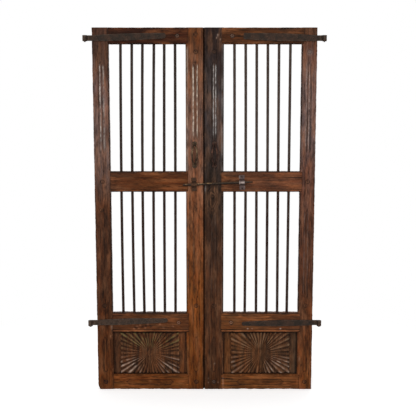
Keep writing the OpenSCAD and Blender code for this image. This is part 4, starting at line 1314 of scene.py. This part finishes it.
# %% Make the window bars
# For each bar from the hinge on: how far to the right it stands at foot, middle and head, in mm
BAR_LEAN = {
    "left": [(0, -1, 4.5), (2, 0, 6), (0, -2.5, 4.5), (-3, -1.5, 7), (-3, -1.5, 3.5), (-2.5, 0.5, 2.5)],
    "right": [(-1.5, 0, -0.5), (4, 1, -2), (3, 2, -2.5), (4.5, 1.5, -2.5), (1, 1.5, -2.5),
              (2.5, 0.5, -3)],
}
BAR_SWELL = 1.06
BAR_STEP = 14 * MM
for side in SIDES:
    for k, (foot, middle, head) in enumerate(BAR_LEAN[side]):
        name = f"{side}_bar_{k + 1}"
        low, high = box(name)
        z = stations(low[2], high[2], BAR_STEP)
        part = (z - low[2]) / (high[2] - low[2])
        off = foot * (1 - part) * (1 - 2 * part) + middle * 4 * part * (1 - part)
        off = off + head * part * (2 * part - 1)
        path = np.stack([(low[0] + high[0]) / 2 + off * MM, 0 * z + (low[1] + high[1]) / 2, z], 1)
        radius = (high[1] - low[1]) / 2 * BAR_SWELL
        piece(name + "_rod", [round_bar(path, radius, 14, 40 + k)], [name], bar_iron[side])
print("window bars", sum(len(bars) for bars in BAR_LEAN.values()))

# %% [markdown]
# ## Strap hinges
# A strap is one flat bar that the smith swelled at the middle, tapered to the tip and rolled into
# an eye round the pin. A flat plate joined to a tube would show a seam that forged iron has not.
# So it is one sweep: straight along the face, then round a circle for most of a turn, until the end
# nearly closes on the strap. The straps were not nailed on level: three of them run a little uphill
# and one downhill.

# %% Lay out the straps
STRAP_L = 361 * MM
NECK_W = 27 * MM
SQUARE_TIP = 30
# For each strap: how far its tip has risen, and how wide its tip is, both in millimetres
STRAP_SHAPE = {("left", "top"): (12, 26), ("right", "top"): (9.5, SQUARE_TIP),
               ("left", "bottom"): (12, 20), ("right", "bottom"): (-6, 20)}


def leaf_edge(side):
    """The outer edge of a leaf, and which way is inwards from it."""
    low, high = stile_x[side, "hinge"]
    return (low, 1) if side == "left" else (high, -1)


def strap_line(side, level, u):
    """The height of a strap's middle line at a distance u from the leaf's edge: level at the eye,
    whose top is the pin's top, and then an even rise or fall to the tip."""
    eye = box(f"{side}_{level}_pin")[1][2] - NECK_W / 2
    return eye + STRAP_SHAPE[side, level][0] * MM * np.clip(u, 0, None) / STRAP_L


print("straps reach", round(STRAP_L / MM), "mm over the leaves")

# %% Make the straps
STRAP_T = 5 * MM
WIDE_W = 35 * MM
EYE_R = 12 * MM
EYE_U = box("left_hinge_stile")[0][0] - (box("left_top_strap")[0][0] + EYE_R)
EYE_MID = 9.025 * MM
EYE_WALL = 5.95 * MM
# The roll of the eye starts and stops at these angles
ROLL = (6, 299)
SEAM_U = -24 * MM
# Over which length a square or a round tip closes
SQUARE_SOFT = 2 * MM
ROUND_SOFT = 9 * MM
RUBBED_STRAP = ("left", "bottom")


def strap(side, level, seed):
    """The half width is a straight taper from neck to tip plus a swell: half of a sine wave over
    the share of the length run so far, which is raised to a power just below one."""
    tip = STRAP_SHAPE[side, level][1] * MM
    u = np.concatenate([STRAP_L - np.array([0, 0.3, 1, 2, 3.5, 5.5, 8]) * MM,
                        np.linspace(STRAP_L - 12 * MM, 0, 84), np.linspace(-4 * MM, -EYE_U, 8)])
    neck = np.clip(-u / EYE_U, 0, 1)
    roll = np.radians(np.linspace(*ROLL, 44))
    straight = np.stack([u, -STRAP_T / 2 - 0.5 * MM * neck], 1)
    rolled = np.stack([-EYE_U - EYE_MID * np.sin(roll), -EYE_R + EYE_MID * np.cos(roll)], 1)
    part = np.clip(u / STRAP_L, 0, 1)
    half = (NECK_W + (tip - NECK_W) * part) / 2 + (WIDE_W - NECK_W) / 2 * np.sin(np.pi * part**0.9)
    soft = SQUARE_SOFT if tip == SQUARE_TIP * MM else ROUND_SOFT
    end = np.clip((u - STRAP_L + soft) / soft, 0, 1)
    half = half * np.sqrt(1 - 0.96 * end**2)
    half = np.concatenate([half, np.full(roll.size, NECK_W / 2)])
    thick = np.concatenate([STRAP_T + (EYE_WALL - STRAP_T) * neck, np.full(roll.size, EYE_WALL)])
    length, depth, width, edge = flat_bar(np.concatenate([straight, rolled]), half, thick, seed)
    outer, inward = leaf_edge(side)
    z = strap_line(side, level, length) + width
    # The rolled eye is painted paler: rubbed iron with a highlight on its round front
    eye = 0.5 * smooth(-length, 6 * MM, 12 * MM) + 0.3 * ((side, level) == RUBBED_STRAP)
    seam = bell(length - SEAM_U, 2.5 * MM)
    return shell(np.stack([outer + inward * length, FRONT_Y + depth, z], -1), worn=0.55 * edge + eye,
                 grime=seam)


for k, key in enumerate(STRAP_SHAPE):
    name = "_".join(key) + "_strap"
    piece(name + "_iron", [strap(*key, 200 + 5 * k)], [name], strap_iron)
print("straps", len(STRAP_SHAPE), "with", made_triangles["left_top_strap_iron"], "triangles each")

# %% [markdown]
# ## Pins and nails
# Small turned shapes: a profile of radius against height, spun round an axis, as the Screw modifier
# would spin a curve. Each pin has a stub, a collar and a shank that fills the eye. A forged nail has
# a low head with a few flats, so its circle has only ten points, and every head has its own dents.

# %% Make pins and nails
NAIL = [(0.6, -30), (2.0, -10), (2.0, -0.5), (4.1, -0.2), (4.5, 0.5), (3.9, 1.4), (2.3, 2.2), (0.6, 2.5)]
NAIL_ROUND = 10
NAIL_STEPS = np.linspace(24 * MM, STRAP_L - 40 * MM, 5)
LEVELS = ("top", "bottom")


def pin(name):
    """A pin from its stub up, as (radius, height) in millimetres, in the middle of its node."""
    low, high = box(name)
    tall = (high[2] - low[2]) / MM
    outline = [(3.5, 0), (4, 0.5), (4, 4), (10.6, 4), (11, 4.4), (11, 5.1), (10.6, 5.5), (6, 5.5),
               (6, 6.5), (6, tall - 1), (5.2, tall)]
    return lathe(outline, ((low[0] + high[0]) / 2, (low[1] + high[1]) / 2, low[2]), 2, 28, 7, 0)


def nail(spot, seed):
    """One nail that comes out of the door, with the underside of its head at the spot."""
    return lathe(NAIL, spot, 1, NAIL_ROUND, seed)


for side in SIDES:
    for level in LEVELS:
        name = f"{side}_{level}_pin"
        piece(name + "_iron", [pin(name)], [name], strap_iron)
    outer, inward = leaf_edge(side)
    heads = [nail((outer + inward * u, FRONT_Y - STRAP_T, strap_line(side, level, u)), 300 + 10 * j + k)
             for j, level in enumerate(LEVELS) for k, u in enumerate(NAIL_STEPS)]
    piece(f"{side}_strap_nails_iron", heads, [f"{side}_strap_nails"], strap_iron)
print("pins", 2 * len(LEVELS), "and strap nails", 4 * len(NAIL_STEPS))

# %% [markdown]
# ## Bolt and loops
# The bolt is a round rod that leans a little up to the right and thins at its tail. Each loop is a
# flat bar bent over it: flat foot, hump, flat foot, nailed through both feet. The loops lean with
# the rod. Turning finished objects would also turn their patterns, so all three are laid out along
# the rod's own line and a formula turns their points.

# %% Make the loops
LEAN = math.radians(2.5)
GAP_X = (stile_x["left", "meeting"][1] + stile_x["right", "meeting"][0]) / 2
BOLT_Z = 1068 * MM
BOLT_D = -5.9 * MM
LOOP_T = 3 * MM
LOOP_BEND = 3 * MM
LOOP_MID = 7.4 * MM
LOOP_HALF_W = 14 * MM
# For each loop: its height, how far its nails stand from the middle and how pale its hump is painted, as
# rubbed iron with a highlight
LOOPS = {"left": (68 * MM, 27 * MM, 0.3), "right": (73 * MM, 29.5 * MM, 1.0)}
loop_middle = {side: (sum(corner[0] for corner in box(side + "_bolt_loop")) / 2 - GAP_X) / math.cos(LEAN)
               for side in SIDES}


def on_rod(along, depth, up):
    """Turns places along the rod, behind the face and up from the rod into places on the door."""
    x = GAP_X + along * math.cos(LEAN) - up * math.sin(LEAN)
    z = BOLT_Z + along * math.sin(LEAN) + up * math.cos(LEAN)
    return np.stack(np.broadcast_arrays(x, FRONT_Y + depth, z), -1)


def loop(side, seed):
    """Feet at half the bar's thickness, a quarter turn up each side and half a circle over."""
    height, _, rubbed = LOOPS[side]
    side_u, bend_d = -LOOP_MID - LOOP_BEND, -LOOP_T / 2 - LOOP_BEND
    foot = np.stack([np.linspace(-height / 2, side_u, 12), np.full(12, -LOOP_T / 2)], 1)
    bend = np.radians(np.linspace(15, 90, 6))
    rise = np.stack([side_u + LOOP_BEND * np.sin(bend), bend_d + LOOP_BEND * np.cos(bend)], 1)
    over = np.radians(np.linspace(0, 90, 12))
    hump = np.stack([-LOOP_MID * np.cos(over), BOLT_D - LOOP_MID * np.sin(over)], 1)
    half = np.concatenate([foot, rise, hump])
    path = np.concatenate([half, half[-2::-1] * (-1, 1)])
    part = np.abs(path[:, 0]) / (height / 2)
    wide = LOOP_HALF_W * (1 - 0.25 * smooth(part, 0.3, 0.38) * (1 - smooth(part, 0.42, 0.55)))
    up, depth, width, edge = flat_bar(path, wide, LOOP_T, seed, 1 * MM, 0.2 * MM)
    # The hump's crown is painted pale, rubbed iron with a highlight, and painted shade lies on the feet
    # where the hump rises
    rub_and_highlight = bell(up, 4.5 * MM) * rubbed
    shade = bell(np.abs(up) - 13 * MM, 3 * MM) * 0.8
    return shell(on_rod(loop_middle[side] + width, depth, up), worn=0.3 * edge + rub_and_highlight, grime=shade)


for k, side in enumerate(SIDES):
    name = side + "_bolt_loop"
    piece(name + "_iron", [loop(side, 400 + k)], [name], loop_iron[side])
    nail_up = LOOPS[side][1]
    spots = on_rod(loop_middle[side], -LOOP_T, np.array([-nail_up, nail_up]))
    heads = [nail(spot, 420 + 4 * k + j) for j, spot in enumerate(spots)]
    piece(side + "_loop_nails_iron", heads, [side + "_loop_nails"], strap_iron)
print("loops lean", round(math.degrees(LEAN), 1), "degrees")

# %% Make the bolt
BOLT_R = 5.5 * MM
BOLT_TAIL = 40 * MM
BOLT_SPAN = (-105 * MM, loop_middle["right"] + 53 * MM)
# Where the painted highlight along the rod's top is brightest, over rubbed iron, as place along it from the
# gap and reach
BRIGHT = ((-88 * MM, 8 * MM), (-20 * MM, 14 * MM), (28 * MM, 13 * MM))

start, stop = BOLT_SPAN
along = np.concatenate([start + np.array([0, 0.3, 0.8, 1.5]) * MM, stations(start + 4 * MM, stop, 3.5 * MM)])
thin = smooth(along, stop - BOLT_TAIL, stop)
blunt = np.clip((along - start) / (1.5 * MM), 0, 1)
radius = (BOLT_R - 0.2 * MM) * (1 - 0.455 * thin) * (0.8 + 0.2 * blunt)
rod = round_bar(on_rod(along, BOLT_D, 0 * along), radius, 18, 440, 0.3 * MM, 0.9)
sideways = rod["points"][:, 0] - GAP_X
above = rod["points"][:, 2] - BOLT_Z - sideways * math.tan(LEAN)
from_gap = sideways / math.cos(LEAN)
bright = sum(np.exp(-(((from_gap - spot) / reach) ** 4)) for spot, reach in BRIGHT)
# Painted highlight along the top of the rod, and painted shade along its underside
rod["marks"]["worn"] = smooth(above, -1 * MM, 3.5 * MM) * (0.15 + 0.85 * bright)
rod["marks"]["grime"] = 1 - smooth(above, -4.5 * MM, -0.5 * MM)
piece("bolt_rod", [rod], ["bolt"], bolt_iron)
print("bolt", round((stop - start) / MM, 1), "mm long")

# %% [markdown]
# ## Bow pulls
# Each pull is an open pointed oval that bows away from the door. A bent torus would come close, but
# its ends are round. Seen from the front the two strands lie on two circles that cross at the ends,
# and seen from the side both lie on one circle through the feet. So a strand is a round bar whose
# path takes its sideways place from the first and its depth from the second. A round boss covers
# each foot.

# %% Make the pulls
PULL_Z = 1214 * MM
PULL_SPAN = 58 * MM
PULL_OUT = 30 * MM
PULL_W = 33 * MM
PULL_H = 134 * MM
STRAND_R = 4 * MM
FOOT_UP = 55 * MM
NAIL_UP = 60 * MM
BOSS = [(10.5, -1), (12, 0), (12, 2), (11, 3.2), (8, 4), (0.6, 4.1)]
BOSS_OUT = 4 * MM
# The middle of the stretch painted pale as rubbed iron with a highlight, above the pull's own middle, and
# its reach
STRAND_RUB_AND_HIGHLIGHT = (20 * MM, 12 * MM)

up = np.linspace(-PULL_SPAN, PULL_SPAN, 61)
bow = (PULL_SPAN**2 + PULL_OUT**2) / (2 * PULL_OUT)
out = np.sqrt(bow**2 - up**2) - (bow - PULL_OUT) - STRAND_R - 0.4 * MM
arc = (PULL_H**2 + PULL_W**2) / (4 * PULL_W)
apart = np.clip(np.sqrt(arc**2 - up**2) - (arc - PULL_W / 2) - STRAND_R, 0.5 * MM, None)
radius = STRAND_R * (1 - 0.25 * (np.abs(up) / PULL_SPAN) ** 3)
for k, side in enumerate(SIDES):
    low, high = box(side + "_pull")
    middle = (low[0] + high[0]) / 2
    strands, bosses, heads = [], [], []
    for sign in (-1, 1):
        path = np.stack([middle + sign * apart, FRONT_Y - out, PULL_Z + up], 1)
        strand = round_bar(path, radius, 12, 460 + 3 * k + sign, 0.2 * MM, 0.4)
        height = strand["points"][:, 2] - PULL_Z
        # Painted highlight over rubbed iron on the upper strands
        strand["marks"]["worn"] += 0.8 * bell(height - STRAND_RUB_AND_HIGHLIGHT[0], STRAND_RUB_AND_HIGHLIGHT[1])
        strands.append(strand)
        bosses.append(lathe(BOSS, (middle, FRONT_Y, PULL_Z + sign * FOOT_UP), 1, 28, 470 + sign))
        heads.append(nail((middle, FRONT_Y - BOSS_OUT, PULL_Z + sign * NAIL_UP), 480 + sign))
    piece(side + "_pull_iron", strands + bosses, [side + "_pull"], pull_iron[side])
    piece(side + "_pull_nails_iron", heads, [side + "_pull_nails"], strap_iron)
print("pulls", round(PULL_H / MM), "mm high")

# %% [markdown]
# The pieces made and their triangles are counted at the end.

# %% Count the finished pieces
print("made", len(made_triangles), "pieces,", sum(made_triangles.values()), "triangles")
